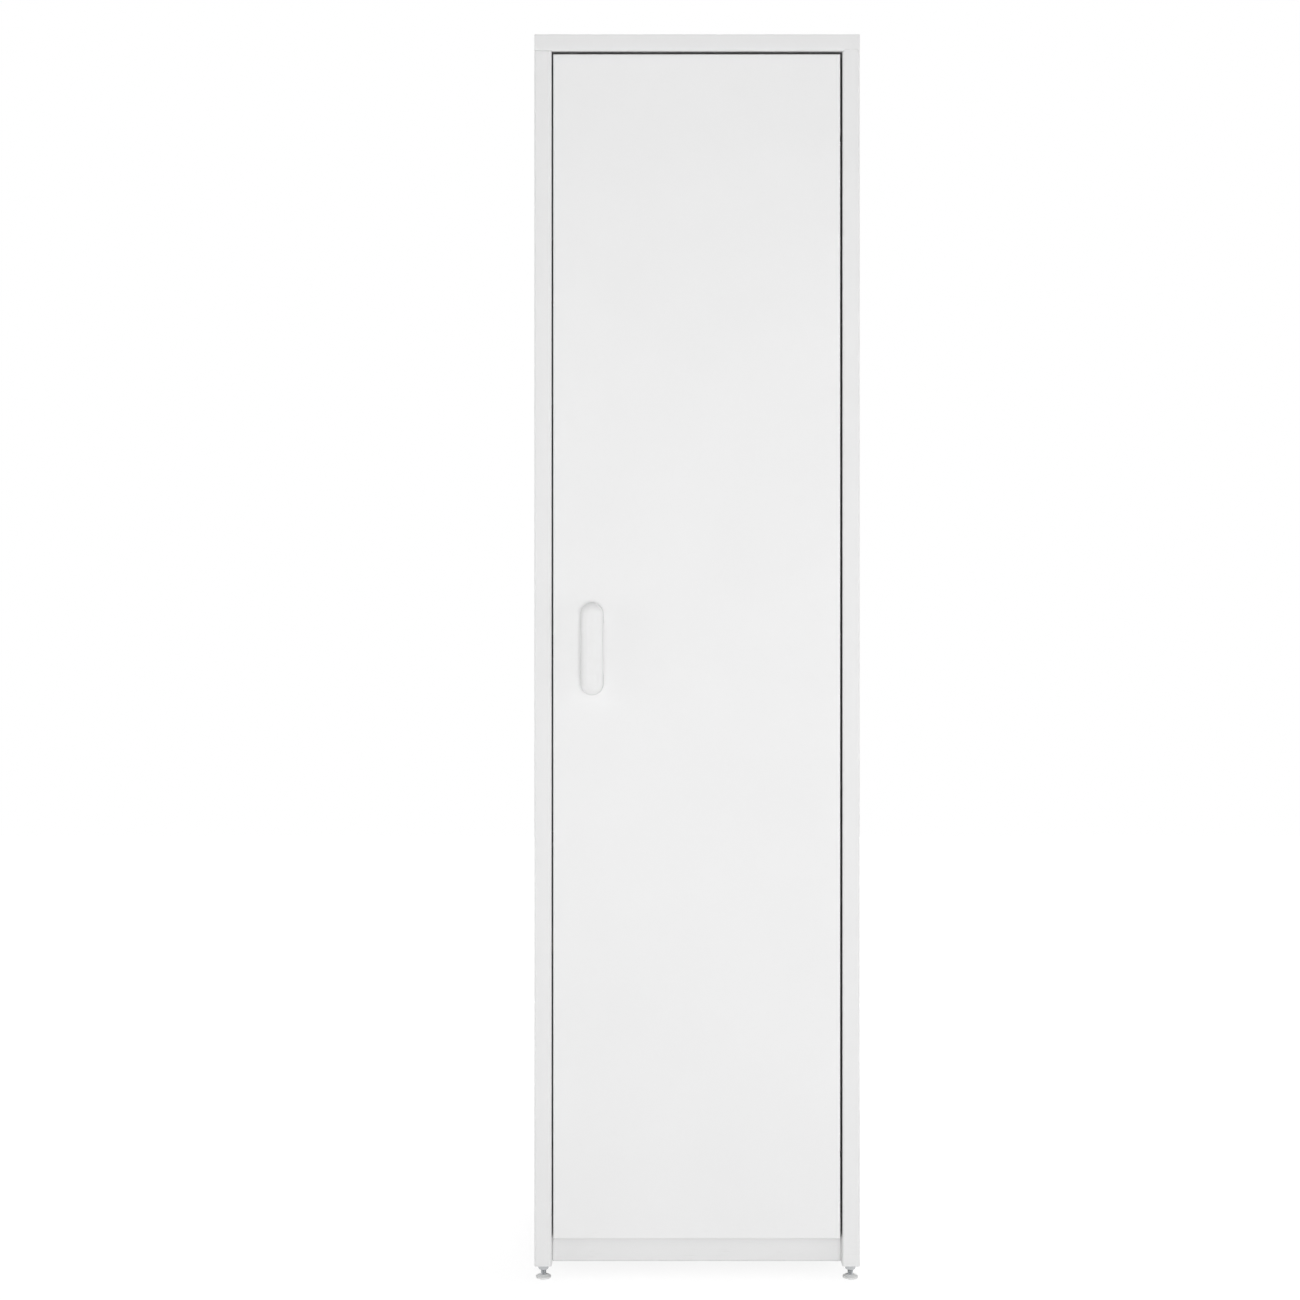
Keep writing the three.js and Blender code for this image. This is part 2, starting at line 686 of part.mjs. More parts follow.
function makeHingeBrackets() {
  const brackets = new THREE.Group();
  ['lower', 'upper'].forEach((name, index) => {
    const bracket = makePiece(`hinge_${name}_bracket`, hingeBracketSolid(), 'zincSteel');
    bracket.position.set(hingeX, hingeY, doorBottom + hingeHeights[index]);
    brackets.add(bracket);
  });
  return brackets;
}

// Magnetic catch beside the left front post, with a wing behind the post for its two screws
function makeCatch() {
  const group = new THREE.Group();
  const near = -openingHalf + seatGap;
  const half = catchLength / 2;
  const wingFront = frontPostRear + seatGap;
  const wingBack = wingFront + catchWingThickness;
  const body = box(near, near + catchWidth, catchFront, catchFront + catchDepth,
    catchHeight - half, catchHeight + half);
  const wing = box(-openingHalf - catchWingWidth, near + seatGap, wingFront, wingBack,
    catchHeight - half, catchHeight + half);
  const roomHalfWidth = magnetWidth / 2 + seatGap;
  const roomHalfLength = magnetLength / 2 + seatGap;
  const pocket = box(catchX - roomHalfWidth, catchX + roomHalfWidth, catchFront - cutOverrun,
    catchFront + magnetDepth + seatGap, catchHeight - roomHalfLength, catchHeight + roomHalfLength);
  let housing = body.add(wing).subtract(pocket);
  for (const height of catchScrewHeights) {
    housing = housing.subtract(cylinder('y', -catchScrewX, height, catchScrewDiameter + 2 * seatGap,
      wingFront - cutOverrun, wingBack + cutOverrun));
  }
  group.add(makePiece('catch_housing', housing, 'catchPlastic'));

  const magnet = makePiece('catch_magnet', box(-magnetWidth / 2, magnetWidth / 2, 0, magnetDepth,
    -magnetLength / 2, magnetLength / 2), 'magnet');
  magnet.position.set(catchX, catchFront, catchHeight);
  group.add(magnet);

  const screw = screwSolid(catchScrewDiameter, catchWingThickness + 2 * seatGap + catchScrewBite,
    catchScrewHeadDiameter, catchScrewHeadHeight);
  ['catch_screw_lower', 'catch_screw_upper'].forEach((name, index) => {
    const piece = makePiece(name, screw, 'zincSteel');
    piece.position.set(-catchScrewX, wingBack + seatGap, catchScrewHeights[index]);
    group.add(piece);
  });
  return group;
}

// Rubber buffer in the face of the plinth: a disc in front and a fatter tail behind the sheet
function makeBuffers() {
  const group = new THREE.Group();
  const plinthFace = frontY + plinthSetback;
  const discFront = frontY + doorThickness + seatGap;
  const tailFront = plinthFace + plinthSheet + seatGap;
  const disc = cylinder('y', 0, 0, bufferDiameter, discFront, plinthFace - seatGap);
  const stem = cylinder('y', 0, 0, bufferStemDiameter, discFront + seatGap, tailFront + seatGap);
  const tail = cylinder('y', 0, 0, bufferTailDiameter, tailFront, tailFront + bufferTailLength);
  const solid = disc.add(stem).add(tail);
  for (const [name, side] of [['buffer_left', -1], ['buffer_right', 1]]) {
    const buffer = makePiece(name, solid, 'rubber');
    buffer.position.set(side * bufferX, 0, bufferHeight);
    group.add(buffer);
  }
  return group;
}

// Foot: pad that rises in a shallow cone to its threaded stem, turned about Z
function footSolid() {
  const padRadius = footPadDiameter / 2;
  const threadRadius = footThreadDiameter / 2;
  const neckRadius = footNeckDiameter / 2;
  const profile = points([0, 0], [padRadius - footPadEdgeRadius, 0], [padRadius, footPadEdgeRadius],
    [padRadius, footPadRim]);
  const flare = points([(padRadius + neckRadius) / 2, (footPadRim + footPadHeight) / 2 + footPadCrown],
    [neckRadius, footPadHeight]);
  const thread = points([threadRadius, footPadHeight], [threadRadius, footThreadLength - footThreadChamfer],
    [threadRadius - footThreadChamfer, footThreadLength], [0, footThreadLength]);
  const turned = new THREE.LatheGeometry([...profile, ...flare, ...thread], footRoundSteps);
  turned.rotateX(Math.PI / 2);
  return toSolid(turned);
}

// Lock nut: a hexagon with its corners turned off above and below
function nutSolid() {
  const cornerRadius = nutAcrossFlats / 2 / Math.cos(Math.PI / hexagonSides);
  const hexagon = cylinder('z', 0, 0, 2 * cornerRadius, 0, nutHeight, hexagonSides);
  const flatRadius = nutAcrossFlats / 2;
  const outside = cornerRadius + seatGap;
  const profile = points([0, 0], [flatRadius, 0], [outside, nutChamferRise],
    [outside, nutHeight - nutChamferRise], [flatRadius, nutHeight], [0, nutHeight]);
  const turned = new THREE.LatheGeometry(profile, footRoundSteps);
  turned.rotateX(Math.PI / 2);
  const hole = cylinder('z', 0, 0, footThreadDiameter + 2 * footHoleClearance,
    -cutOverrun, nutHeight + cutOverrun, footRoundSteps);
  return hexagon.intersect(toSolid(turned)).subtract(hole);
}

function makeFeet() {
  const feet = new THREE.Group();
  const foot = footSolid();
  const nut = nutSolid();
  const corners = [
    ['front_left', -1, frontY + tubeSide / 2], ['front_right', 1, frontY + tubeSide / 2],
    ['rear_left', -1, rearY - tubeSide / 2], ['rear_right', 1, rearY - tubeSide / 2],
  ];
  for (const [name, side, y] of corners) {
    const corner = new THREE.Group();
    corner.position.set(side * postX, y, 0);
    corner.add(makePiece(`foot_${name}`, foot, 'chrome'));
    const nutPiece = makePiece(`foot_nut_${name}`, nut, 'chrome');
    nutPiece.position.z = postLift - seatGap - nutHeight;
    corner.add(nutPiece);
    feet.add(corner);
  }
  return feet;
}

const cupboard = new THREE.Group();
cupboard.name = 'steel_cupboard';
cupboard.add(makeFrame(), makeBase(), makePanels(), makeShelves(), makeDoor(), makeHingeBrackets(),
  makeCatch(), makeBuffers(), makeFeet());

export default cupboard;
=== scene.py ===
"""Looks of a tall white steel cupboard with one door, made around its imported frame.

Places are metres in the frame of the CAD: +Z up, the front towards -Y, the floor at z = 0.
Sizes that a maker would give are written in millimetres and turned to metres by MM.
"""

import json
import logging
import math
from abc import ABC, abstractmethod
from collections.abc import Callable, Sequence
from dataclasses import dataclass
from enum import Enum
from functools import cached_property
from typing import Self

import bmesh
import bpy
import numpy as np
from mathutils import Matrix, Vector

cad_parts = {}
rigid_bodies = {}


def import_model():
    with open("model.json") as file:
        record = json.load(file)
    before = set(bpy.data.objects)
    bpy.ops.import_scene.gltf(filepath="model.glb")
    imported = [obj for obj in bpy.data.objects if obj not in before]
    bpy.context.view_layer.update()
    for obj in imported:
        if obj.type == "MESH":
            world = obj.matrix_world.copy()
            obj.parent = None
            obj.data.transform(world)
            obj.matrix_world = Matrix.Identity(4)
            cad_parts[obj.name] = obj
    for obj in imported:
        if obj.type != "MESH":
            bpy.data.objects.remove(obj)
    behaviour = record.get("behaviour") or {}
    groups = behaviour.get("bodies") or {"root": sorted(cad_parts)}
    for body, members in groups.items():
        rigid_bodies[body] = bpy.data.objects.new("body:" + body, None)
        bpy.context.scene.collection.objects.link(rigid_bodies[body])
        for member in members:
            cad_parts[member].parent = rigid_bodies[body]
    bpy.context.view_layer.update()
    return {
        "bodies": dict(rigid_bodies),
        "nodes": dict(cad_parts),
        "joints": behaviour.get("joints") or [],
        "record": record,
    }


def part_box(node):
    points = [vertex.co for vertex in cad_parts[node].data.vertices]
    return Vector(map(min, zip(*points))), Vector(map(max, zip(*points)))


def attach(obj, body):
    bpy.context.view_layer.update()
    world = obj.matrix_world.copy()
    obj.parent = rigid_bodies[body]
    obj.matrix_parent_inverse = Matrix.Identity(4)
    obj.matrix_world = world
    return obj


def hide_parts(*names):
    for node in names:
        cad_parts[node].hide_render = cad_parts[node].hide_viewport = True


log = logging.getLogger("steel_cupboard")

MM = 0.001

# Edges that turn by more than this stay crisp, and the rest are shaded as one round surface
CRISP_ANGLE = math.radians(32)

# Flat strip beside every round, so that the shading of the round stays off the flat face
EASE = 0.6 * MM

# Distance that keeps two surfaces or two points apart and is too small to be seen
HAIR = 0.02 * MM

# In a copy of a CAD piece, points this close are one, and faces that turn this little are flat
SAME_POINT = 0.002 * MM
SAME_FACE = math.radians(0.5)

MULTIPLY = {"operation": "MULTIPLY"}
WHITE = "#ffffff"

Outline = Callable[[float], np.ndarray]
Feed = bpy.types.Node | bpy.types.NodeSocket


# Outlines and profiles


def full_turn(count: int) -> np.ndarray:
    """Give angles in radians that stand evenly round a circle."""
    return np.linspace(0, 2 * math.pi, count, endpoint=False)


def arc(centre: Sequence[float], radius: float, start: float, end: float, steps: int) -> np.ndarray:
    """Points of a circle's arc: the centre plus the radius times the cosine and sine of each angle.

    Args:
        centre: middle of the circle.
        radius: its radius.
        start: first angle in degrees.
        end: last angle in degrees.
        steps: straight pieces that the arc is drawn with.

    Returns:
        Points, shape (steps + 1, 2).
    """
    turn = np.radians(np.linspace(start, end, steps + 1))
    return np.asarray(centre) + radius * np.stack([np.cos(turn), np.sin(turn)], axis=-1)


def round_square(low: Sequence[float], high: Sequence[float], radius: float, steps: int = 6,
                 marks: Sequence[float] = ()) -> Outline:
    """Rectangle with round corners, as a function of how far it is drawn in.

    Each corner is a quarter circle whose radius shrinks with the inset, and a point stands a
    little way along the straight edge on both sides of it.

    Args:
        low: lowest corner (a, b).
        high: highest corner (a, b).
        radius: corner radius before any inset.
        steps: straight pieces in a corner.
        marks: places along a where the edge at high b gets a point of its own.

    Returns:
        Function from inset to points, shape (n, 2), counter-clockwise.
    """
    marks = sorted(marks, reverse=True)

    def outline(inset: float) -> np.ndarray:
        """Draw the rectangle in.

        Args:
            inset: how far it is drawn in.

        Returns:
            Points, shape (n, 2).
        """
        corner = max(radius - inset, HAIR)
        a0, b0 = low[0] + inset, low[1] + inset
        a1, b1 = high[0] - inset, high[1] - inset
        centres = [(a1 - corner, b1 - corner), (a0 + corner, b1 - corner),
                   (a0 + corner, b0 + corner), (a1 - corner, b0 + corner)]
        stretches = []
        for index, centre in enumerate(centres):
            start = 90 * index
            quarter = arc(centre, corner, start, start + 90, steps)
            along = np.array([-math.sin(math.radians(start)), math.cos(math.radians(start))])
            onward = np.array([-along[1], along[0]])
            stretches += [quarter[:1] - EASE * along, quarter, quarter[-1:] + EASE * onward]
            if index == 0 and marks:
                stretches.append(np.stack([np.asarray(marks), np.full(len(marks), b1)], axis=-1))
        return np.concatenate(stretches)

    return outline


def circle(radius: float, count: int) -> Outline:
    """Circle about the origin, as a function of how far it is drawn in."""
    return lambda inset: arc((0, 0), max(radius - inset, 0), 0, 360, count)[:-1]


def folded_edge(radius: float, depth: float, sheet: float = 0.0, steps: int = 5) -> np.ndarray:
    """Profile of a sheet's face that turns into a flange, from the face to the flange's end.

    The fold is a quarter circle. The inner side of the sheet has the same centre and a radius
    that is smaller by the sheet.

    Args:
        radius: outer radius of the fold.
        depth: how deep the flange goes, counted from the face.
        sheet: distance from the outer side, 0 for the outer side itself.
        steps: straight pieces in the fold.

    Returns:
        Rows of (inset, depth), shape (n, 2).
    """
    fold = arc((radius, radius), radius - sheet, 270, 180, steps)
    return np.concatenate([[[radius + EASE, sheet]], fold, [[sheet, radius + EASE], [sheet, depth]]])


def eased_bar(length: float, radius: float, steps: int = 3) -> np.ndarray:
    """Profile of a bar with closed ends and a small round on each end's edge.

    Args:
        length: length of the bar.
        radius: radius of the round.
        steps: straight pieces in the round.

    Returns:
        Rows of (inset, run), from the middle of one end face to the other, shape (n, 2).
    """
    start = np.concatenate([[[radius + EASE, 0.0]], arc((radius, radius), radius, 270, 180, steps),
                            [[0.0, radius + EASE]]])
    return np.concatenate([start, [1, -1] * start[::-1] + [0, length]])


def turned(radii: np.ndarray, levels: np.ndarray, foot: Sequence[float]) -> np.ndarray:
    """Points of a surface that goes round an upright axis.

    Each is the axis plus its row's radius there times the cosine and sine of its angle.

    Args:
        radii: distances from the axis, shape (rows, columns), with the columns evenly round it.
        levels: height of every row over the foot of the axis.
        foot: lowest point of the axis.

    Returns:
        Points, shape (rows, columns, 3).
    """
    turn = full_turn(radii.shape[1])
    return np.stack([foot[0] + radii * np.cos(turn), foot[1] + radii * np.sin(turn),
                     foot[2] + levels[:, None] + np.zeros_like(radii)], axis=-1)


@dataclass(frozen=True)
class Plane:
    """Where an outline is drawn: its two directions, the way that it runs and its origin."""

    a: Sequence[float]
    b: Sequence[float]
    run: Sequence[float]
    origin: Sequence[float]

    def rings(self, outline: Outline, rows: np.ndarray) -> np.ndarray:
        """Carry an outline along its run.

        Ring k is the outline drawn in by rows[k, 0] and moved by rows[k, 1] along the run.

        Args:
            outline: function from inset to points.
            rows: rows of (inset, run).

        Returns:
            Points, shape (rows, columns, 3).
        """
        flat = np.stack([outline(inset) for inset in rows[:, 0]])
        axes = np.array([self.a, self.b])
        return np.asarray(self.origin) + flat @ axes + rows[:, None, 1:] * np.asarray(self.run)


class Run(Enum):
    """Way that an outline is carried: its two axes, the axis of the run and the run's sign."""

    RIGHTWARD = (1, 2, 0, 1)
    LEFTWARD = (1, 2, 0, -1)
    REARWARD = (0, 2, 1, 1)
    FORWARD = (0, 2, 1, -1)
    DOWNWARD = (0, 1, 2, -1)

    def plane(self, low: Vector, high: Vector) -> Plane:
        """Give the plane of the outline, at the side of a box where the run starts.

        Args:
            low: lowest corner of the box.
            high: highest corner of the box.

        Returns:
            The plane, whose other two axes start at 0.
        """
        a, b, run, sign = self.value
        start = low if sign > 0 else high
        axes = np.eye(3)
        return Plane(axes[a], axes[b], sign * axes[run], start[run] * axes[run])


# Finishes


def linear(colour: str) -> tuple[float, float, float, float]:
    """Turn an sRGB hex colour into Blender's linear one, by the curve of the sRGB standard.

    It is a straight line near black and a power above it.

    Args:
        colour: such as "#e9e9e7".

    Returns:
        Red, green, blue and an alpha of 1.
    """
    parts = np.array([int(colour[k:k + 2], 16) for k in (1, 3, 5)]) / 255
    values = np.where(parts <= 0.04045, parts / 12.92, ((parts + 0.055) / 1.055) ** 2.4)
    return (*values.tolist(), 1.0)


@dataclass(frozen=True)
class Span:
    """Stretch of a value: first to last becomes low to high, and beyond them it is held.

    The usual first and last take in most of a noise.
    """

    first: float = 0.3
    last: float = 0.7
    low: float = 0.0
    high: float = 1.0

    def settings(self, level: float = 0.0) -> dict[str, float]:
        """Give the inputs of a map range node, with a level added to both results."""
        return {"From Min": self.first, "From Max": self.last,
                "To Min": self.low + level, "To Max": self.high + level}


@dataclass(frozen=True)
class Marks:
    """Soft marks about one size apart, and the span that they are stretched to.

    They are a noise between 0 and 1, mostly near the middle. Stretch is how many times further
    apart the marks are along each axis, and detail counts the finer layers in them.
    """

    size: float
    detail: float
    span: Span | None = None
    stretch: tuple[float, float, float] = (1, 1, 1)


class Nodes:
    """Node tree that is being filled."""

    def __init__(self, tree: bpy.types.NodeTree) -> None:
        """Start with the tree emptied."""
        tree.nodes.clear()
        self.tree = tree

    def add(self, kind: str, settings: dict | None = None,
            links: dict[str | int, Feed] | None = None) -> bpy.types.Node:
        """Add a shader node with its settings and its incoming links.

        Args:
            kind: the node's type name, without the word ShaderNode.
            settings: values by property name, or by the name or number of an input.
            links: what feeds each input, by its name or number; a node stands for its first output.

        Returns:
            The new node.
        """
        node = self.tree.nodes.new(f"ShaderNode{kind}")
        for key, value in (settings or {}).items():
            if isinstance(key, str) and hasattr(node, key):
                setattr(node, key, value)
            else:
                node.inputs[key].default_value = value
        for key, feed in (links or {}).items():
            socket = feed.outputs[0] if isinstance(feed, bpy.types.Node) else feed
            self.tree.links.new(socket, node.inputs[key])
        return node

    @cached_property
    def place(self) -> bpy.types.NodeSocket:
        """Coordinates in metres, in the object's own frame."""
        return self.add("TexCoord").outputs["Object"]

    def marks(self, marks: Marks, level: float = 0.0) -> bpy.types.Node:
        """Lay marks on the object, stretched to their span if they have one.

        Args:
            marks: the marks.
            level: what is added to both results of the span.

        Returns:
            Node whose first output is the marks.
        """
        place = self.place
        if marks.stretch != (1, 1, 1):
            place = self.add("Mapping", {"Scale": [1 / times for times in marks.stretch]}, {"Vector": place})
        noise = self.add("TexNoise", {"Scale": 1 / marks.size, "Detail": marks.detail}, {"Vector": place})
        return self.add("MapRange", marks.span.settings(level), {"Value": noise}) if marks.span else noise


@dataclass(frozen=True)
class Pattern:
    """What a finish lays over its plain colour and shine, each part on those before it.

    A layer is how much of a further colour shows, from 0 to 1, and its hex value. A relief is a
    height from 0 to 1 and the depth that a height of 1 stands for. Feeds are what feeds other
    inputs of the shader, by their names.
    """

    layers: Sequence[tuple[Feed, str]]
    reliefs: Sequence[tuple[Feed, float]]
    feeds: dict[str, Feed]


@dataclass(frozen=True)
class Finish(ABC):
    """A finish: the record's slot, its colour and its shine. Each kind of finish adds its pattern.

    The index of refraction stays at the shader's 1.5, as it is for paint, plastic and rubber.
    """

    slot: str
    title: str
    colour: str
    roughness: float
    metallic: float = 0.0

    def material(self) -> bpy.types.Material:
        """Give the finish's material, made the first time that it is asked for.

        Each layer is mixed over the colour below it, and each relief bends the normal below it.

        Returns:
            The material.
        """
        found = bpy.data.materials.get(self.title)
        if found:
            return found
        material = bpy.data.materials.new(self.title)
        material.use_nodes = True
        nodes = Nodes(material.node_tree)
        pattern = self.pattern(nodes)
        feeds, below = dict(pattern.feeds), {}
        for share, colour in pattern.layers:
            colours = {"data_type": "RGBA", 6: linear(self.colour), 7: linear(colour)}
            feeds["Base Color"] = nodes.add("Mix", colours, {0: share, **below}).outputs[2]
            below = {6: feeds["Base Color"]}
        below = {}
        for height, depth in pattern.reliefs:
            steepness = {"Distance": depth, "Strength": 1.0}
            feeds["Normal"] = nodes.add("Bump", steepness, {"Height": height, **below})
            below = {"Normal": feeds["Normal"]}
        plain = {"Base Color": linear(self.colour), "Roughness": self.roughness, "Metallic": self.metallic}
        shader = nodes.add("BsdfPrincipled", plain, feeds)
        nodes.add("OutputMaterial", links={"Surface": shader})
        return material

    @abstractmethod
    def pattern(self, nodes: Nodes) -> Pattern:
        """Add the nodes of the finish's own pattern."""


@dataclass(frozen=True)
class PowderCoat(Finish):
    """Polyester powder coat, sprayed on sheet steel and baked: satin, with a soft orange peel.

    The eye sees a broad highlight that breaks up a little in the ripples, large panels that
    aren't quite flat, a greyer line where the coat pulls back from an edge, a film of dust on
    what faces up, scuffs just over the floor, and painted shade in the narrow gaps, which also
    darkens the light bounced between their walls.
    """

    shade: str = "#e0e0e0"
    clouds: Marks = Marks(210 * MM, 3, Span(high=0.12))
    edge: str = "#d3d3d2"
    edge_width: float = 0.9 * MM
    edge_samples: int = 4
    edge_turn: Span = Span(0.72, 0.97, 1.0, 0.0)
    edge_patches: Marks = Marks(9 * MM, 3, Span(0.42, 0.72, high=0.8))
    dust: str = "#dcdbd8"
    dust_facing: Span = Span(0.8, 1.0, high=0.55)
    dust_patches: Marks = Marks(34 * MM, 5, Span(low=0.12, high=0.5))
    dust_dulling: float = 0.25
    scuff: str = "#c4c3c0"
    scuff_heights: Span = Span(20 * MM, 110 * MM, 1.0, 0.0)
    scuff_streaks: Marks = Marks(3 * MM, 4, Span(0.58, 0.8, high=0.16), (9, 9, 1))
    # Painted shade in the narrow gaps: a greyer colour, and near black for bounced light, where little is
    # open nearby
    gap_shade: str = "#747473"
    bounce_shade: str = "#161616"
    gap_shade_reach: float = 13 * MM
    gap_shade_samples: int = 12
    gap_shade_openness: Span = Span(0.12, 0.36, 0.96, 0.0)
    smears: Marks = Marks(60 * MM, 4, Span(low=-0.04, high=0.05), (1, 1, 1.8))
    sag: Marks = Marks(260 * MM, 1)
    sag_depth: float = 0.12 * MM
    ripple: Marks = Marks(2.6 * MM, 2)
    ripple_depth: float = 0.011 * MM
    grain: Marks = Marks(0.7 * MM, 1)
    grain_depth: float = 0.0025 * MM

    def pattern(self, nodes: Nodes) -> Pattern:
        """Add ripples, slow sag, greyer edges where the coat pulls back, dust, scuffs and painted shade in
        the narrow gaps.

        Args:
            nodes: node tree of the material.

        Returns:
            The pattern.
        """
        # An edge is where the normal of a slightly rounded surface leaves the face's own
        flat = nodes.add("NewGeometry").outputs["Normal"]
        softened = nodes.add("Bevel", {"samples": self.edge_samples, "Radius": self.edge_width})
        alike = nodes.add("VectorMath", {"operation": "DOT_PRODUCT"}, {0: flat, 1: softened}).outputs["Value"]
        near_edge = nodes.add("MapRange", self.edge_turn.settings(), {"Value": alike})
        worn = nodes.add("Math", MULTIPLY, {0: near_edge, 1: nodes.marks(self.edge_patches)})

        # Dust lies on what faces up, scuffs lie low down and run along the floor
        upward = nodes.add("SeparateXYZ", links={0: flat}).outputs["Z"]
        level = nodes.add("MapRange", self.dust_facing.settings(), {"Value": upward})
        dusty = nodes.add("Math", MULTIPLY, {0: level, 1: nodes.marks(self.dust_patches)})
        height = nodes.add("SeparateXYZ", links={0: nodes.place}).outputs["Z"]
        low_down = nodes.add("MapRange", self.scuff_heights.settings(), {"Value": height})
        scuffed = nodes.add("Math", MULTIPLY, {0: low_down, 1: nodes.marks(self.scuff_streaks)})

        # A gap is where most of what a point faces stands within a few millimetres. Shade is painted
        # there: the colour is made greyer, and near black for bounced light, so that less light goes on from
        # wall to wall
        nearby = {"samples": self.gap_shade_samples, "Distance": self.gap_shade_reach}
        openness = nodes.add("AmbientOcclusion", nearby).outputs["AO"]
        deep = nodes.add("MapRange", self.gap_shade_openness.settings(), {"Value": openness})
        passed_on = nodes.add("LightPath").outputs["Is Diffuse Ray"]
        bounce_shaded = nodes.add("Math", MULTIPLY, {0: deep, 1: passed_on})

        return Pattern(
            # The last two layers paint shade into the narrow gaps
            layers=[(nodes.marks(self.clouds), self.shade), (worn, self.edge), (dusty, self.dust),
                    (scuffed, self.scuff), (deep, self.gap_shade), (bounce_shaded, self.bounce_shade)],
            reliefs=[(nodes.marks(self.sag), self.sag_depth), (nodes.marks(self.ripple), self.ripple_depth),
                     (nodes.marks(self.grain), self.grain_depth)],
            feeds={"Roughness": nodes.add("Math", {"operation": "MULTIPLY_ADD", 1: self.dust_dulling}, {
                0: dusty, 2: nodes.marks(self.smears, self.roughness)})})


@dataclass(frozen=True)
class ZincPlate(Finish):
    """Bright zinc plate on cut or rolled steel, passivated: grey with a bluish and straw bloom.

    The eye sees fine rolling lines, soft cloudy patches and duller spots where it was handled.
    """

    straw: str = "#c9c2ad"
    bloom: Marks = Marks(14 * MM, 2, Span(high=0.45))
    dull: str = "#9a9da0"
    crystal: float = 1.8 * MM
    crystal_share: Span = Span(0.2, 0.9, high=0.35)
    handled: Marks = Marks(6 * MM, 4)
    handled_shine: Span = Span(low=-0.08, high=0.14)
    handled_depth: float = 0.02 * MM
    lines: Marks = Marks(0.35 * MM, 2, stretch=(1, 40, 1))
    line_depth: float = 0.004 * MM

    def pattern(self, nodes: Nodes) -> Pattern:
        """Add the bloom, the rolling lines and the dull patches.

        Args:
            nodes: node tree of the material.

        Returns:
            The pattern.
        """
        cells = {"Scale": 1 / self.crystal, "feature": "F1"}
        crystals = nodes.add("TexVoronoi", cells, {"Vector": nodes.place}).outputs["Distance"]
        dulled = nodes.add("MapRange", self.crystal_share.settings(), {"Value": crystals})
        handled = nodes.marks(self.handled)
        shine = nodes.add("MapRange", self.handled_shine.settings(self.roughness), {"Value": handled})
        return Pattern(
            layers=[(nodes.marks(self.bloom), self.straw), (dulled, self.dull)],
            reliefs=[(nodes.marks(self.lines), self.line_depth), (handled, self.handled_depth)],
            feeds={"Roughness": shine})


@dataclass(frozen=True)
class ChromePlate(Finish):
    """Bright chrome plate over nickel on turned steel: a mirror with hairlines and a little dust.

    The eye sees sharp dark and light bands on the thread and the nut, and turning lines round
    the axis of the foot. The pad is blasted before it is plated and scatters most of its light.
    """

    film: str = "#b4b3ae"
    film_heights: Span = Span(0.0, 6 * MM, 0.5, 0.0)
    film_patches: Marks = Marks(2.2 * MM, 4, Span(low=0.2))
    film_dulling: float = 0.3
    clouds: Marks = Marks(5 * MM, 3)
    cloud_dulling: float = 0.06
    turning: Marks = Marks(0.5 * MM, 2, stretch=(30, 30, 1))
    turning_depth: float = 0.003 * MM
    pad_top: float = 5 * MM
    pad_edge: float = 1 * MM
    pad_colour: str = "#f2f3f3"
    pad_roughness: float = 0.42
    pad_metal: float = 0.1

    def pattern(self, nodes: Nodes) -> Pattern:
        """Add turning lines, a film of dust close to the floor, cloudy shine and the satin pad.

        Args:
            nodes: node tree of the material.

        Returns:
            The pattern.
        """
        height = nodes.add("SeparateXYZ", links={0: nodes.place}).outputs["Z"]
        near_floor = nodes.add("MapRange", self.film_heights.settings(), {"Value": height})
        filmed = nodes.add("Math", MULTIPLY, {0: near_floor, 1: nodes.marks(self.film_patches)})

        # Up the foot, the pad's share, shine and metal give way to those of the thread
        first, last = self.pad_top, self.pad_top + self.pad_edge
        ends = ((1.0, 0.0), (self.pad_roughness, self.roughness), (self.pad_metal, 1.0))
        on_pad, shine, metal = (
            nodes.add("MapRange", Span(first, last, *pair).settings(), {"Value": height}) for pair in ends)
        for share, dulling in ((nodes.marks(self.clouds), self.cloud_dulling), (filmed, self.film_dulling)):
            shine = nodes.add("Math", {"operation": "MULTIPLY_ADD", 1: dulling}, {0: share, 2: shine})
        return Pattern(
            layers=[(on_pad, self.pad_colour), (filmed, self.film)],
            reliefs=[(nodes.marks(self.turning), self.turning_depth)],
            feeds={"Roughness": shine, "Metallic": metal})


@dataclass(frozen=True)
class GlossPlastic(Finish):
    """Moulded ABS, left glossy by a polished mould: flat white, with the flow of the melt in it.

    The eye sees a clear highlight that wanders slightly, and fine rubbing where fingers go.
    """

    rubbed: str = "#e6e6e5"
    patches: Marks = Marks(11 * MM, 5)
    patch_share: Span = Span(0.45, 0.75, high=0.35)
    patch_shine: Span = Span(low=-0.04, high=0.07)
    hairs: Marks = Marks(0.7 * MM, 3, stretch=(1, 1, 14))
    hair_dulling: float = 0.07
    hair_depth: float = 0.0015 * MM
    flow: Marks = Marks(16 * MM, 1)
    flow_depth: float = 0.008 * MM

    def pattern(self, nodes: Nodes) -> Pattern:
        """Add the wandering surface and the rubbed patches.

        Args:
            nodes: node tree of the material.

        Returns:
            The pattern.
        """
        patches, hairs = nodes.marks(self.patches), nodes.marks(self.hairs)
        share = nodes.add("MapRange", self.patch_share.settings(), {"Value": patches})
        shine = nodes.add("MapRange", self.patch_shine.settings(self.roughness), {"Value": patches})
        return Pattern(
            layers=[(share, self.rubbed)],
            reliefs=[(nodes.marks(self.flow), self.flow_depth), (hairs, self.hair_depth)],
            feeds={"Roughness": nodes.add("Math", {"operation": "MULTIPLY_ADD", 1: self.hair_dulling}, {
                0: hairs, 2: shine})})


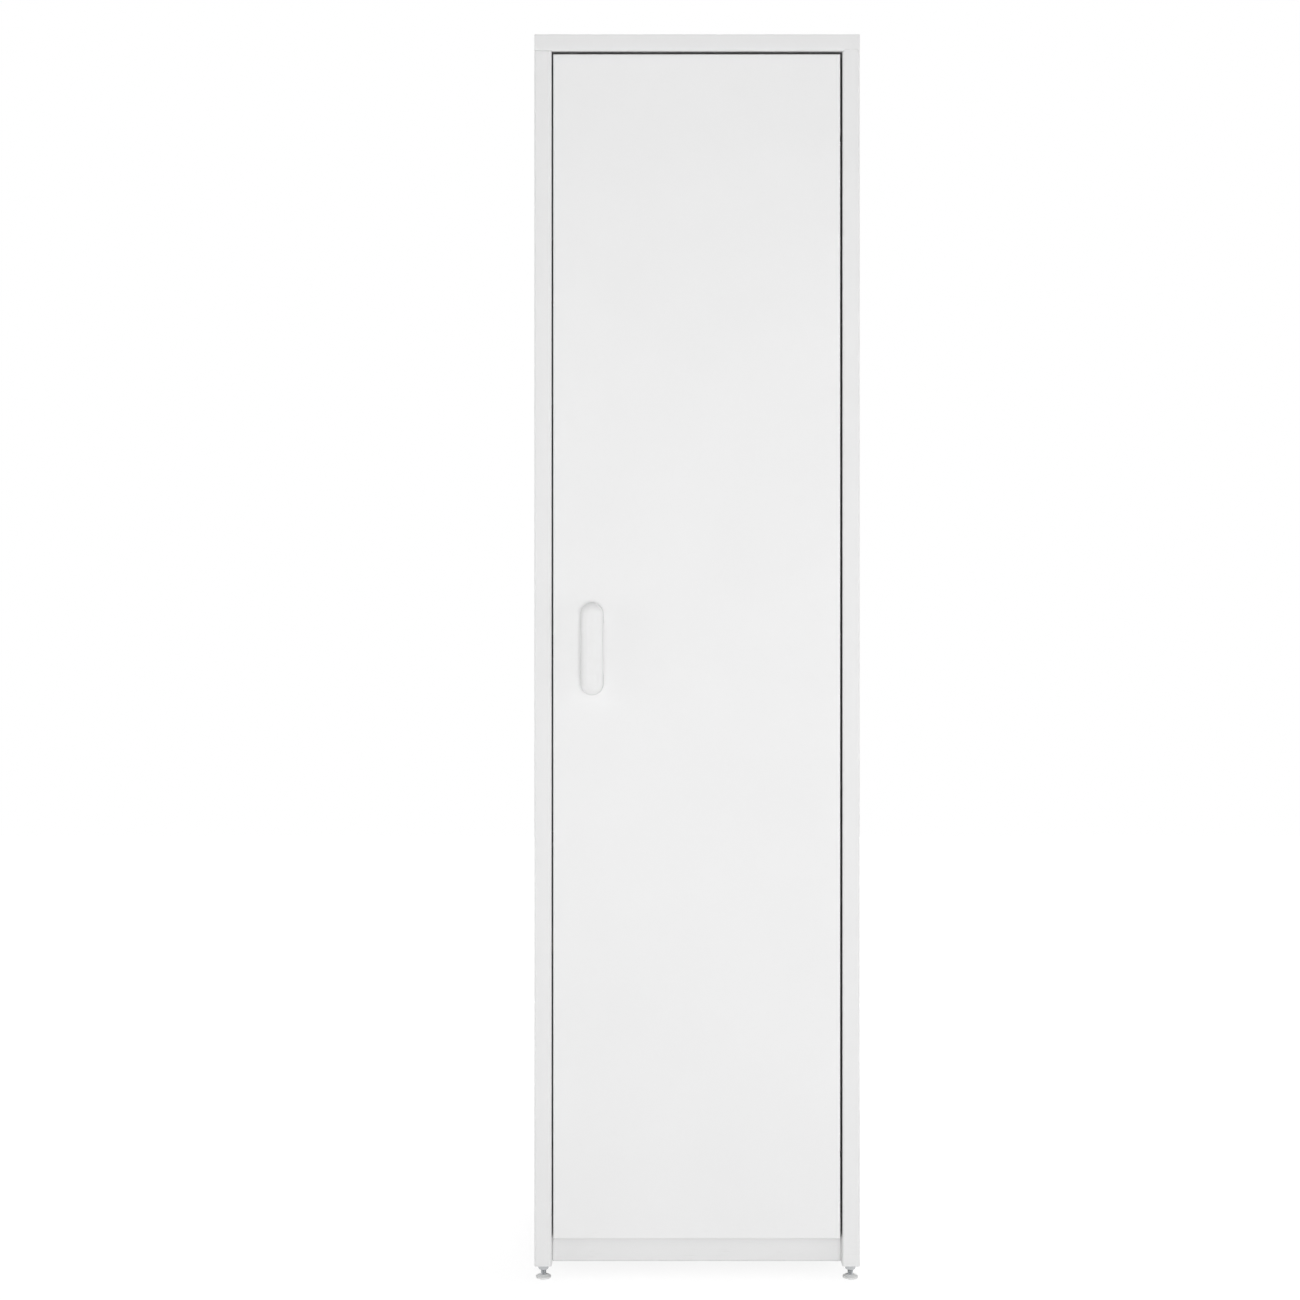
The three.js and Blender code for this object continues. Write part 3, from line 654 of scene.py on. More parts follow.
@dataclass(frozen=True, kw_only=True)
class MottledFinish(Finish):
    """Dull finish with a second colour in patches, an uneven shine and a grain that stands up."""

    second: str
    patches: Marks
    shine: Marks
    grain: Marks
    grain_depth: float

    def pattern(self, nodes: Nodes) -> Pattern:
        """Add the patches, the shine and the grain.

        Args:
            nodes: node tree of the material.

        Returns:
            The pattern.
        """
        return Pattern(
            layers=[(nodes.marks(self.patches), self.second)],
            reliefs=[(nodes.marks(self.grain), self.grain_depth)],
            feeds={"Roughness": nodes.marks(self.shine, self.roughness)})


@dataclass(frozen=True)
class SparkedPlastic(MottledFinish):
    """Moulded plastic from a spark-eroded mould: satin, slightly aged, with an even fine grain.

    The eye sees the grain, which is drawn about twice as coarse as the real one.
    """

    second: str = "#cfc9b8"
    patches: Marks = Marks(18 * MM, 3, Span(high=0.5))
    shine: Marks = Marks(0.5 * MM, 2, Span(low=-0.06, high=0.08))
    grain: Marks = Marks(0.5 * MM, 2)
    grain_depth: float = 0.02 * MM


@dataclass(frozen=True)
class Ferrite(MottledFinish):
    """Sintered ferrite magnet: the eye sees a dull dark grey with pores and chipped specks."""

    second: str = "#66676a"
    patches: Marks = Marks(0.8 * MM, 4, Span(0.55, 0.75, high=0.7))
    shine: Marks = Marks(0.8 * MM, 4, Span(low=0.08, high=-0.1))
    grain: Marks = Marks(0.8 * MM, 4)
    grain_depth: float = 0.05 * MM


@dataclass(frozen=True)
class Rubber(MottledFinish):
    """Moulded grey rubber: the eye sees a dull, soft skin with a pale bloom on it."""

    second: str = "#a9aaa9"
    patches: Marks = Marks(3.5 * MM, 4, Span(high=0.6))
    shine: Marks = Marks(3.5 * MM, 4, Span(low=-0.08, high=0.06))
    grain: Marks = Marks(0.6 * MM, 2)
    grain_depth: float = 0.03 * MM


FRAME_COAT = PowderCoat("white_coat", "white_powder_coat", "#ebebeb", 0.40)
DOOR_COAT = PowderCoat("white_coat", "white_powder_coat_of_the_door", "#f0f0f0", 0.38)
ZINC = ZincPlate("zinc_steel", "bright_zinc_plate", "#bdc1c6", 0.34, 1.0)
CHROME = ChromePlate("chrome_plate", "bright_chrome_plate", "#bcbec0", 0.10, 1.0)
WHITE_ABS = GlossPlastic("white_plastic", "glossy_white_abs", "#ebebeb", 0.14)
CATCH_PLASTIC = SparkedPlastic("catch_plastic", "grained_white_plastic", "#dddbd4", 0.50)
FERRITE = Ferrite("magnet", "sintered_ferrite", "#3d3e41", 0.55)
GREY_RUBBER = Rubber("rubber", "grey_rubber", "#8d8f90", 0.78)


# Meshes


def grid_quads(rows: int, columns: int, close_rows: bool, close_columns: bool) -> np.ndarray:
    """Faces of a grid of points.

    Args:
        rows: rows of points.
        columns: points in a row.
        close_rows: whether the last row joins the first.
        close_columns: whether the last point of a row joins its first.

    Returns:
        Indices, shape (faces along rows, faces along columns, 4).
    """
    i = np.arange(rows if close_rows else rows - 1)[:, None]
    j = np.arange(columns if close_columns else columns - 1)[None, :]
    below, beside = (i + 1) % rows, (j + 1) % columns
    return np.stack([i * columns + j, i * columns + beside,
                     below * columns + beside, below * columns + j], axis=-1)


class Surface:
    """Grids of points gathered into one mesh, each of them closed and facing outwards."""

    def __init__(self) -> None:
        """Start with no points and no faces."""
        self.points: list[np.ndarray] = []
        self.faces: list[list[int]] = []
        self.count = 0

    def take(self, points: np.ndarray, faces: list[np.ndarray]) -> Self:
        """Add one closed body, turned round if its faces point inwards.

        The volume under the faces, each cut into triangles about its first corner, is above
        zero where they point outwards.

        Args:
            points: corners, shape (n, 3).
            faces: groups of faces, each an index array of shape (faces, corners).

        Returns:
            This surface.
        """
        volume = 0.0
        for group in faces:
            corners = points[group]
            for k in range(1, group.shape[1] - 1):
                volume += np.einsum("ij,ij->", corners[:, 0],
                                    np.cross(corners[:, k], corners[:, k + 1]))
        for group in faces:
            ordered = group if volume > 0 else group[:, ::-1]
            self.faces += (ordered + self.count).tolist()
        self.points.append(points)
        self.count += len(points)
        return self

    def add_bar(self, grid: np.ndarray) -> Self:
        """Add a grid whose columns are closed and whose first and last rows get flat caps.

        Args:
            grid: points, shape (rows, columns, 3).

        Returns:
            This surface.
        """
        rows, columns = grid.shape[:2]
        quads = grid_quads(rows, columns, False, True).reshape(-1, 4)
        first = np.arange(columns)[None, ::-1]
        last = np.arange(columns)[None, :] + (rows - 1) * columns
        return self.take(grid.reshape(-1, 3), [quads, first, last])

    def add_ring(self, grid: np.ndarray) -> Self:
        """Add a grid that is closed both ways, as a nut or a washer is.

        Args:
            grid: points, shape (rows, columns, 3).

        Returns:
            This surface.
        """
        rows, columns = grid.shape[:2]
        return self.take(grid.reshape(-1, 3), [grid_quads(rows, columns, True, True).reshape(-1, 4)])

    def add_wall(self, outer: np.ndarray, inner: np.ndarray, faced: bool,
                 holes: np.ndarray | None = None) -> Self:
        """Add a wall between two grids of the same shape, with a rim along every open edge.

        An edge is open where one face alone uses it: at the ends of the grid and round the
        faces left out as holes. The rim joins it to the same edge of the inner grid.

        Args:
            outer: points of the outer side, shape (rows, columns, 3).
            inner: points of the inner side, the same shape.
            faced: whether the first row is closed by a flat face.
            holes: mask of the faces to leave out, shape (rows - 1, columns).

        Returns:
            This surface.
        """
        rows, columns = outer.shape[:2]
        quads = grid_quads(rows, columns, False, True)
        kept = quads.reshape(-1, 4) if holes is None else quads[~holes]
        face = np.arange(columns)[None, ::-1]
        groups = [kept, face] if faced else [kept]
        count = rows * columns
        edges = np.concatenate([np.stack([group, np.roll(group, -1, axis=1)], axis=-1).reshape(-1, 2)
                                for group in groups])
        codes = edges[:, 0] * count + edges[:, 1]
        backward = edges[:, 1] * count + edges[:, 0]
        start, end = edges[~np.isin(backward, codes)].T
        rim = np.stack([end, start, start + count, end + count], axis=-1)
        groups += [group[:, ::-1] + count for group in groups]
        return self.take(np.concatenate([outer.reshape(-1, 3), inner.reshape(-1, 3)]), groups + [rim])

    def piece(self, name: str, finish: Finish, body: str, *replaces: str) -> None:
        """Make the mesh and its object, and say which body carries it.

        Args:
            name: name of the piece.
            finish: its finish.
            body: CAD body that it rides on.
            replaces: CAD nodes that it stands for.
        """
        mesh = bpy.data.meshes.new(name)
        mesh.from_pydata(np.concatenate(self.points).tolist(), [], self.faces)
        mesh.validate()
        settle(mesh, name, finish, body, *replaces)


def settle(mesh: bpy.types.Mesh, name: str, finish: Finish, body: str, *replaces: str) -> bpy.types.Object:
    """Give a mesh its shading, its finish and its place in the object.

    Args:
        mesh: the finished mesh.
        name: name of the piece.
        finish: its finish.
        body: CAD body that it rides on.
        replaces: CAD nodes that it stands for.

    Returns:
        The new object.
    """
    mesh.shade_smooth()
    mesh.set_sharp_from_angle(angle=CRISP_ANGLE)
    mesh.materials.append(finish.material())
    piece = bpy.data.objects.new(name, mesh)
    bpy.context.scene.collection.objects.link(piece)
    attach(piece, body)
    if replaces:
        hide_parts(*replaces)
    log.info("%s: %d faces on %s", name, len(mesh.polygons), body)
    return piece


def eased_copy(frame: dict, node: str, finish: Finish, body: str, radius: float) -> None:
    """Copy a CAD piece, with its edges broken as a file or a tumbler leaves them.

    The copy's loose triangles are merged and its flat faces made whole before a bevel rounds
    every edge that turns by more than the crisp angle.

    Args:
        frame: the loaded frame.
        node: CAD node to copy, which the copy stands for.
        finish: finish of the copy.
        body: CAD body that it rides on.
        radius: width of the bevel.
    """
    mesh = bpy.data.meshes.new(f"{node}_eased")
    work = bmesh.new()
    work.from_mesh(frame["nodes"][node].data)
    bmesh.ops.remove_doubles(work, verts=work.verts, dist=SAME_POINT)
    bmesh.ops.dissolve_limit(work, angle_limit=SAME_FACE, verts=work.verts, edges=work.edges)
    work.to_mesh(mesh)
    work.free()
    bevel = settle(mesh, f"{node}_eased", finish, body, node).modifiers.new("broken_edges", "BEVEL")
    bevel.width = radius
    bevel.segments = 2
    bevel.limit_method = "ANGLE"
    bevel.angle_limit = CRISP_ANGLE
    bevel.harden_normals = True


def dress(frame: dict, node: str, finish: Finish) -> None:
    """Give a CAD piece whose shape is right its finish.

    Args:
        frame: the loaded frame.
        node: CAD node, which stays as it is.
        finish: its finish.
    """
    for slot in frame["nodes"][node].material_slots:
        slot.material = finish.material()
    log.info("%s: kept, %s", node, finish.title)


# Frame and sheet work


@dataclass
class TubeFrame:
    """Welded frame of square tube: four slotted posts, and four rails round the top."""

    side: float = 25 * MM
    wall: float = 1.5 * MM
    corner: float = 3 * MM
    cut_edge: float = 0.4 * MM
    end_round: float = 1.2 * MM
    butt_round: float = 0.3 * MM
    plate: float = 3 * MM
    plate_rise: float = 0.05 * MM
    foot_hole: float = 4.3 * MM
    slot_start: float = 183.8 * MM
    slot_pitch: float = 48 * MM
    slot_count: int = 32
    slot_offset: float = 3.5 * MM
    slot_width: float = 3 * MM
    slot_height: float = 12 * MM
    weld_gap: float = 0.03 * MM
    weld_steps: int = 8

    def build(self) -> None:
        """Build the posts and the rails."""
        for end, facing in (("front", 1), ("rear", -1)):
            for hand, outward in (("left", -1), ("right", 1)):
                self.post(f"post_{end}_{hand}", facing, outward)
        self.rail("top_rail_front", Run.RIGHTWARD, self.end_round)
        self.weld()
        self.rail("top_rail_rear", Run.RIGHTWARD, self.end_round)
        self.rail("top_rail_left", Run.REARWARD, self.butt_round)
        self.rail("top_rail_right", Run.REARWARD, self.butt_round)

    def post(self, node: str, facing: int, outward: int) -> None:
        """Build a post with its row of slots and the plate in its lower end.

        The tube is a round square carried up Z. Its rows stand at the edges of the slots, so
        that each slot is one face left out of the wall.

        Args:
            node: CAD node that it stands for.
            facing: 1 where the slots face rearward, -1 where they face forward.
            outward: 1 on the right, -1 on the left.
        """
        low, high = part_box(node)
        half = self.side / 2
        slot = outward * self.slot_offset + np.array([-0.5, 0.5]) * self.slot_width
        outline = round_square((-half, -half), (half, half), self.corner, marks=slot.tolist())
        axis = ((low.x + high.x) / 2, (low.y + high.y) / 2, 0)
        plane = Plane(a=(1, 0, 0), b=(0, facing, 0), run=(0, 0, 1), origin=axis)

        seats = self.slot_start + self.slot_pitch * np.arange(self.slot_count)
        slot_ends = np.stack([seats, seats + self.slot_height], axis=-1).ravel()
        foot = [low.z, low.z + self.cut_edge, low.z + self.cut_edge + EASE]
        heights = np.concatenate([foot, slot_ends, [high.z]])
        insets = np.where(heights <= low.z, self.cut_edge, 0.0)
        outer = plane.rings(outline, np.stack([insets, heights], axis=-1))
        inner = plane.rings(outline, np.stack([np.full_like(heights, self.wall), heights], axis=-1))

        past_seat = (heights[1:, None] + heights[:-1, None]) / 2 - seats
        in_slot = np.any((past_seat > 0) & (past_seat < self.slot_height), axis=1)
        flat = outline(0.0)
        across = (flat + np.roll(flat, -1, axis=0)) / 2
        at_slot = np.abs(across[:, 0] - slot.mean()) < self.slot_width / 2
        at_slot &= across[:, 1] > half - EASE / 2

        surface = Surface().add_wall(outer, inner, False, in_slot[:, None] & at_slot[None, :])
        surface.add_ring(self.end_plate(plane, outline, low.z))
        surface.piece(f"{node}_tube", FRAME_COAT, "frame", node)

    def end_plate(self, plane: Plane, outline: Outline, height: float) -> np.ndarray:
        """Work out the plate that closes a post and holds its foot.

        Each point of the tube's inner outline has a partner on the hole in the same direction,
        and the ring runs up the outline, across to the hole and down.

        Args:
            plane: where the post's outline is drawn.
            outline: the post's outline.
            height: height of the post's lower end.

        Returns:
            Points, shape (4, columns, 3).
        """
        rim = outline(self.wall - HAIR)
        hole = self.foot_hole * rim / np.linalg.norm(rim, axis=1, keepdims=True)
        axes = np.array([plane.a, plane.b])
        levels = [(rim, self.plate_rise), (rim, self.plate), (hole, self.plate), (hole, self.plate_rise)]
        return np.stack([np.asarray(plane.origin) + flat @ axes + [0, 0, height + rise]
                         for flat, rise in levels])

    def weld(self) -> None:
        """Build the weld that fills the joint of the right post and the front rail, ground flush.

        Its section is a square whose side is the rail's corner radius, less the quarter circle
        of the rail's own round. It is a hair smaller than the joint all round.
        """
        low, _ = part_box("top_rail_front")
        post_low, post_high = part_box("post_front_right")
        radius, gap = self.corner, self.weld_gap
        round_part = arc((low.y + radius, low.z + radius), radius + gap, 180, 270, self.weld_steps)
        section = np.concatenate([[[low.y + gap, post_high.z + gap]], round_part[::-1]])
        start, end = post_low.x + radius, post_high.x - radius
        plane = Plane(a=(0, 1, 0), b=(0, 0, 1), run=(1, 0, 0), origin=(start, 0, 0))
        grid = plane.rings(lambda _: section, np.array([[0.0, 0.0], [0.0, end - start]]))
        Surface().add_bar(grid).piece("weld_front_right", FRAME_COAT, "frame")

    def rail(self, node: str, run: Run, end_round: float) -> None:
        """Build a rail: a round square carried from end to end, with both ends closed.

        Args:
            node: CAD node that it stands for.
            run: the way that it runs.
            end_round: radius of the round on each end's edge.
        """
        low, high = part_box(node)
        a, b, along, _ = run.value
        outline = round_square((low[a], low[b]), (high[a], high[b]), self.corner)
        grid = run.plane(low, high).rings(outline, eased_bar(high[along] - low[along], end_round))
        Surface().add_bar(grid).piece(f"{node}_tube", FRAME_COAT, "frame", node)


def folded_pan(plane: Plane, outline: Outline, fold: float, depth: float, sheet: float,
               hole_columns: np.ndarray | None = None, hole_from: float = 0.0) -> Surface:
    """Fold a sheet into a pan: its face, a round fold and a flange all round.

    The outer and the inner side have the same outline, drawn in by the fold's profile.

    Args:
        plane: where the outline is drawn, with its run from the face towards the flange's end.
        outline: outline of the pan.
        fold: outer radius of the fold.
        depth: how deep the flange goes.
        sheet: thickness of the sheet.
        hole_columns: mask of the outline's stretches that a notch cuts away.
        hole_from: depth at which the notches start.

    Returns:
        The pan's surface.
    """
    outer_rows, inner_rows = folded_edge(fold, depth), folded_edge(fold, depth, sheet)
    holes = None
    if hole_columns is not None:
        holes = (outer_rows[:-1, 1] >= hole_from)[:, None] & hole_columns[None, :]
    return Surface().add_wall(plane.rings(outline, outer_rows), plane.rings(outline, inner_rows), True, holes)


@dataclass
class SheetWork:
    """Folded sheet that closes the frame: plinth, skirts, sides, back and top."""

    sheet: float = 0.8 * MM
    fold: float = 1.6 * MM
    corner: float = 0.6 * MM
    base_sheet: float = 1.5 * MM
    base_fold: float = 2.6 * MM
    fold_steps: int = 5

    def build(self) -> None:
        """Build the base and the panels."""
        for node, run, inward in (
                ("plinth_front", Run.RIGHTWARD, 1), ("skirt_rear", Run.RIGHTWARD, -1),
                ("skirt_left", Run.REARWARD, 1), ("skirt_right", Run.REARWARD, -1)):
            self.channel(node, run, inward)
        for node, run in (
                ("side_panel_left", Run.RIGHTWARD), ("side_panel_right", Run.LEFTWARD),
                ("back_panel", Run.FORWARD), ("top_panel", Run.DOWNWARD)):
            self.panel(node, run)

    def panel(self, node: str, run: Run) -> None:
        """Build a pan: a flat face with a flange folded back along each edge.

        Args:
            node: CAD node that it stands for.
            run: the way from its face to the ends of its flanges.
        """
        low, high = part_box(node)
        a, b, along, _ = run.value
        outline = round_square((low[a], low[b]), (high[a], high[b]), self.corner, steps=3)
        pan = folded_pan(run.plane(low, high), outline, self.fold, high[along] - low[along], self.sheet)
        pan.piece(f"{node}_sheet", FRAME_COAT, "frame", node)

    def channel(self, node: str, run: Run, inward: int) -> None:
        """Build a channel: an upright web with a flange folded inwards above and below.

        Args:
            node: CAD node that it stands for.
            run: the way that it runs.
            inward: 1 where the web is at the low end of the other level axis, -1 at the high end.
        """
        low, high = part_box(node)
        a, _, along, _ = run.value
        plane = run.plane(low, high)
        web = (low if inward > 0 else high)[a] * np.asarray(plane.a)
        placed = Plane(inward * np.asarray(plane.a), plane.b, plane.run, plane.origin + web)
        section = self.section(high[a] - low[a], low.z, high.z)
        grid = placed.rings(lambda _: section, np.array([[0.0, 0.0], [0.0, high[along] - low[along]]]))
        Surface().add_bar(grid).piece(f"{node}_sheet", FRAME_COAT, "frame", node)

    def section(self, depth: float, bottom: float, top: float) -> np.ndarray:
        """Outline of a channel's section, round the outer side and back along the inner side.

        Each side is drawn by one rule: its lower flange, a fold, the web, a fold and its upper
        flange, all moved in by the sheet on the inner side.

        Args:
            depth: how deep the flanges go.
            bottom: height of the lower flange.
            top: height of the upper flange.

        Returns:
            Points, shape (n, 2).
        """
        radius = self.base_fold
        sides = []
        for sheet in (0.0, self.base_sheet):
            folds = [arc((radius, bottom + radius), radius - sheet, 270, 180, self.fold_steps),
                     arc((radius, top - radius), radius - sheet, 180, 90, self.fold_steps)]
            web = [[sheet, bottom + radius + EASE], [sheet, top - radius - EASE]]
            below = [[depth, bottom + sheet], [radius + EASE, bottom + sheet]]
            above = [[radius + EASE, top - sheet], [depth, top - sheet]]
            sides.append(np.concatenate([below, folds[0], web, folds[1], above]))
        return np.concatenate([sides[0], sides[1][::-1]])


@dataclass
class Trays:
    """Floor panel and four shelves, the same folded tray, and the supports of the shelves."""

    sheet: float = 0.8 * MM
    fold: float = 1.4 * MM
    narrow_half: float = 209 * MM
    post_clearance: float = 2 * MM
    support_edge: float = 0.25 * MM
    shelf_count: int = 4

    def build(self, frame: dict) -> None:
        """Build the trays and their supports.

        Args:
            frame: the loaded frame.
        """
        self.tray("floor_panel", "frame")
        for number in range(1, self.shelf_count + 1):
            self.tray(f"shelf_{number}", f"shelf_{number}")
            for hand in ("left", "right"):
                eased_copy(frame, f"shelf_{number}_support_{hand}", ZINC, "frame", self.support_edge)

    def tray(self, node: str, body: str) -> None:
        """Build a tray that passes between the posts in front and behind and is wider between them.

        Args:
            node: CAD node that it stands for.
            body: CAD body that it rides on.
        """
        low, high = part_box(node)
        front_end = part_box("post_front_left")[1].y + self.post_clearance
        rear_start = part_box("post_rear_left")[0].y - self.post_clearance
        narrow = self.narrow_half
        half = np.array([[narrow, low.y], [narrow, front_end], [high.x, front_end],
                         [high.x, rear_start], [narrow, rear_start], [narrow, high.y]])
        inwards = np.array([[-1, 1], [-1, 1], [-1, 1], [-1, -1], [-1, -1], [-1, -1]])

        def outline(inset: float) -> np.ndarray:
            """Draw the tray's twelve corners in.

            Args:
                inset: how far they are drawn in.

            Returns:
                Points, shape (12, 2).
            """
            right = half + inset * inwards
            return np.concatenate([right, right[::-1] * [-1, 1]])

        pan = folded_pan(Run.DOWNWARD.plane(low, high), outline, self.fold, high.z - low.z, self.sheet)
        pan.piece(f"{node}_tray", FRAME_COAT, body, node)


# Door


@dataclass(frozen=True)
class PanScrew:
    """Pan-head screw with a cross recess, with its head on the rear side of what it holds.

    The rim and the tip are rows of (share of a radius, share of a height): of the head's for
    the rim, and of the shank's for the tip.
    """

    diameter: float
    head_height: float
    arm_half_width: float = 0.55 * MM
    recess_depth: float = 1.1 * MM
    recess_slope: float = 0.25 * MM
    recess_reach: float = 0.62
    first_ring: float = 0.03 * MM
    dome_reach: float = 0.96
    dome_fall: float = 0.4
    dome_rows: int = 24
    rim: tuple[tuple[float, float], ...] = ((0.99, 0.55), (1.0, 0.4), (1.0, 0.0))
    tip: tuple[tuple[float, float], ...] = ((1.0, 0.0), (1.0, 0.96), (0.7, 1.0))
    round_steps: int = 72

    def build(self, node: str, body: str) -> None:
        """Build the screw.

        The head's height falls as the fourth power of the distance from the middle, and a
        cross is pressed into it whose walls slope over a quarter of a millimetre.

        Args:
            node: CAD node that it stands for.
            body: CAD body that it rides on.
        """
        low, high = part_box(node)
        head, shank = (high.x - low.x) / 2, self.diameter / 2
        length = high.y - low.y - self.head_height
        dome_radii = np.linspace(self.first_ring, self.dome_reach * head, self.dome_rows)
        dome = self.head_height * (1 - self.dome_fall * (dome_radii / head) ** 4)
        radii, levels = np.concatenate([
            np.stack([dome_radii, dome], axis=-1), np.array(self.rim) * [head, self.head_height],
            np.array(self.tip) * [shank, -length]]).T

        turn = full_turn(self.round_steps)
        x, z = radii[:, None] * np.cos(turn), radii[:, None] * np.sin(turn)
        beside, along = np.minimum(np.abs(x), np.abs(z)), np.maximum(np.abs(x), np.abs(z))
        pressed = (np.clip((self.arm_half_width + self.recess_slope - beside) / self.recess_slope, 0, 1)
                   * np.clip((self.recess_reach * head - along) / self.recess_slope, 0, 1))
        y = levels[:, None] - self.recess_depth * pressed * (levels > 0)[:, None]
        seat = ((low.x + high.x) / 2, high.y - self.head_height, (low.z + high.z) / 2)
        Surface().add_bar(np.stack([x, y, z], axis=-1) + seat).piece(f"{node}_pan_head", ZINC, body, node)


@dataclass
class BowHandle:
    """Moulded bow handle: a long dome with round shoulders, arched over a gap for the fingers."""

    shoulder: float = 10.5 * MM
    shoulder_depth: float = 12 * MM
    fullness: float = 1.8
    crown: float = 0.5 * MM
    grip: float = 11 * MM
    gap_length: float = 72 * MM
    gap_corner: float = 9 * MM
    rim: float = 1.6 * MM
    columns: int = 144
    leg_rows: int = 6
    elbow_rows: int = 26
    grip_rows: int = 15
    ray: float = 45 * MM
    halvings: int = 34

    def solid(self, size: Vector, u: np.ndarray, h: np.ndarray, w: np.ndarray) -> np.ndarray:
        """Tell how far points lie outside the handle.

        The dome is a capsule seen from the front, whose shoulders are superellipses. The gap is a
        rectangle with round corners, run right through. Both are measured as distances, and
        the edge between them is a round with the rim's radius.

        Args:
            size: width, depth and length of the handle.
            u: distances across, from the middle.
            h: heights over the door.
            w: distances along, from the middle.

        Returns:
            Distances, below zero inside.
        """
        radius = size.x / 2
        spine = np.hypot(u, np.maximum(np.abs(w) - (size.z / 2 - radius), 0))
        risen = h + self.crown * (spine / radius) ** 2
        side = np.maximum(spine - (radius - self.shoulder), 0) / self.shoulder
        top = np.maximum(risen - (size.y - self.shoulder_depth), 0) / self.shoulder_depth
        dome = ((side ** self.fullness + top ** self.fullness) ** (1 / self.fullness) - 1) * self.shoulder
        over = h - (size.y - self.grip - self.gap_corner)
        beyond = np.abs(w) - (self.gap_length / 2 - self.gap_corner)
        gap = (np.hypot(np.maximum(over, 0), np.maximum(beyond, 0))
               + np.minimum(np.maximum(over, beyond), 0) - self.gap_corner)
        corner = np.hypot(np.maximum(dome + self.rim, 0), np.maximum(self.rim - gap, 0))
        return np.minimum(np.maximum(dome, -gap), -self.rim) + corner

    def spine(self, size: Vector) -> tuple[np.ndarray, np.ndarray]:
        """Work out the middle line of the bow, and the way out from the gap along it.

        It climbs one leg, turns about the gap's corner, runs along the grip and comes down the
        same way. At the elbow it keeps halfway between the gap and the outside.

        Args:
            size: width, depth and length of the handle.

        Returns:
            Middle points (h, w) and directions (h, w), each of shape (rows, 2).
        """
        corner_h = size.y - self.grip - self.gap_corner
        corner_w = self.gap_length / 2 - self.gap_corner
        leg_reach = (self.gap_corner + size.z / 2 - corner_w) / 2
        grip_reach = (self.gap_corner + size.y - corner_h) / 2
        turn = np.radians(np.linspace(0, 90, self.elbow_rows))
        outward = np.stack([np.sin(turn), np.cos(turn)], axis=-1)
        reach = 1 / np.hypot(np.cos(turn) / leg_reach, np.sin(turn) / grip_reach)
        elbow = np.array([corner_h, corner_w]) + reach[:, None] * outward
        climb = np.linspace(0, corner_h, self.leg_rows + 1)[:-1]
        leg = np.stack([climb, np.full(self.leg_rows, corner_w + leg_reach)], axis=-1)
        across = np.linspace(corner_w, 0, self.grip_rows + 1)[1:]
        grip = np.stack([np.full(self.grip_rows, corner_h + grip_reach), across], axis=-1)
        half = np.concatenate([leg, elbow, grip])
        away = np.concatenate([np.tile(outward[0], (self.leg_rows, 1)), outward,
                               np.tile(outward[-1], (self.grip_rows, 1))])
        middle, out = (np.concatenate([part, (part * [1, -1])[-2::-1]]) for part in (half, away))
        return middle, out

    def build(self) -> None:
        """Build the handle.

        In the plane that stands across the bow at each point of its middle line, rays go out
        all round, and halving finds where each one leaves the solid.
        """
        low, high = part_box("handle")
        size = high - low
        middle, away = self.spine(size)
        turn = full_turn(self.columns)
        across, outward = size.x / 2 * np.cos(turn), self.grip / 2 * np.sin(turn)
        length = np.hypot(across, outward)
        across, outward = across / length, outward / length
        near = np.zeros((len(middle), self.columns))
        far = near + self.ray
        for _ in range(self.halvings):
            reach = (near + far) / 2
            h = middle[:, None, 0] + reach * outward * away[:, None, 0]
            w = middle[:, None, 1] + reach * outward * away[:, None, 1]
            outside = self.solid(size, reach * across, h, w) > 0
            near, far = np.where(outside, near, reach), np.where(outside, reach, far)
        centre = (low + high) / 2
        grid = np.stack([centre.x + reach * across, high.y - h, centre.z + w], axis=-1)
        Surface().add_bar(grid).piece("handle_bow", WHITE_ABS, "door", "handle")


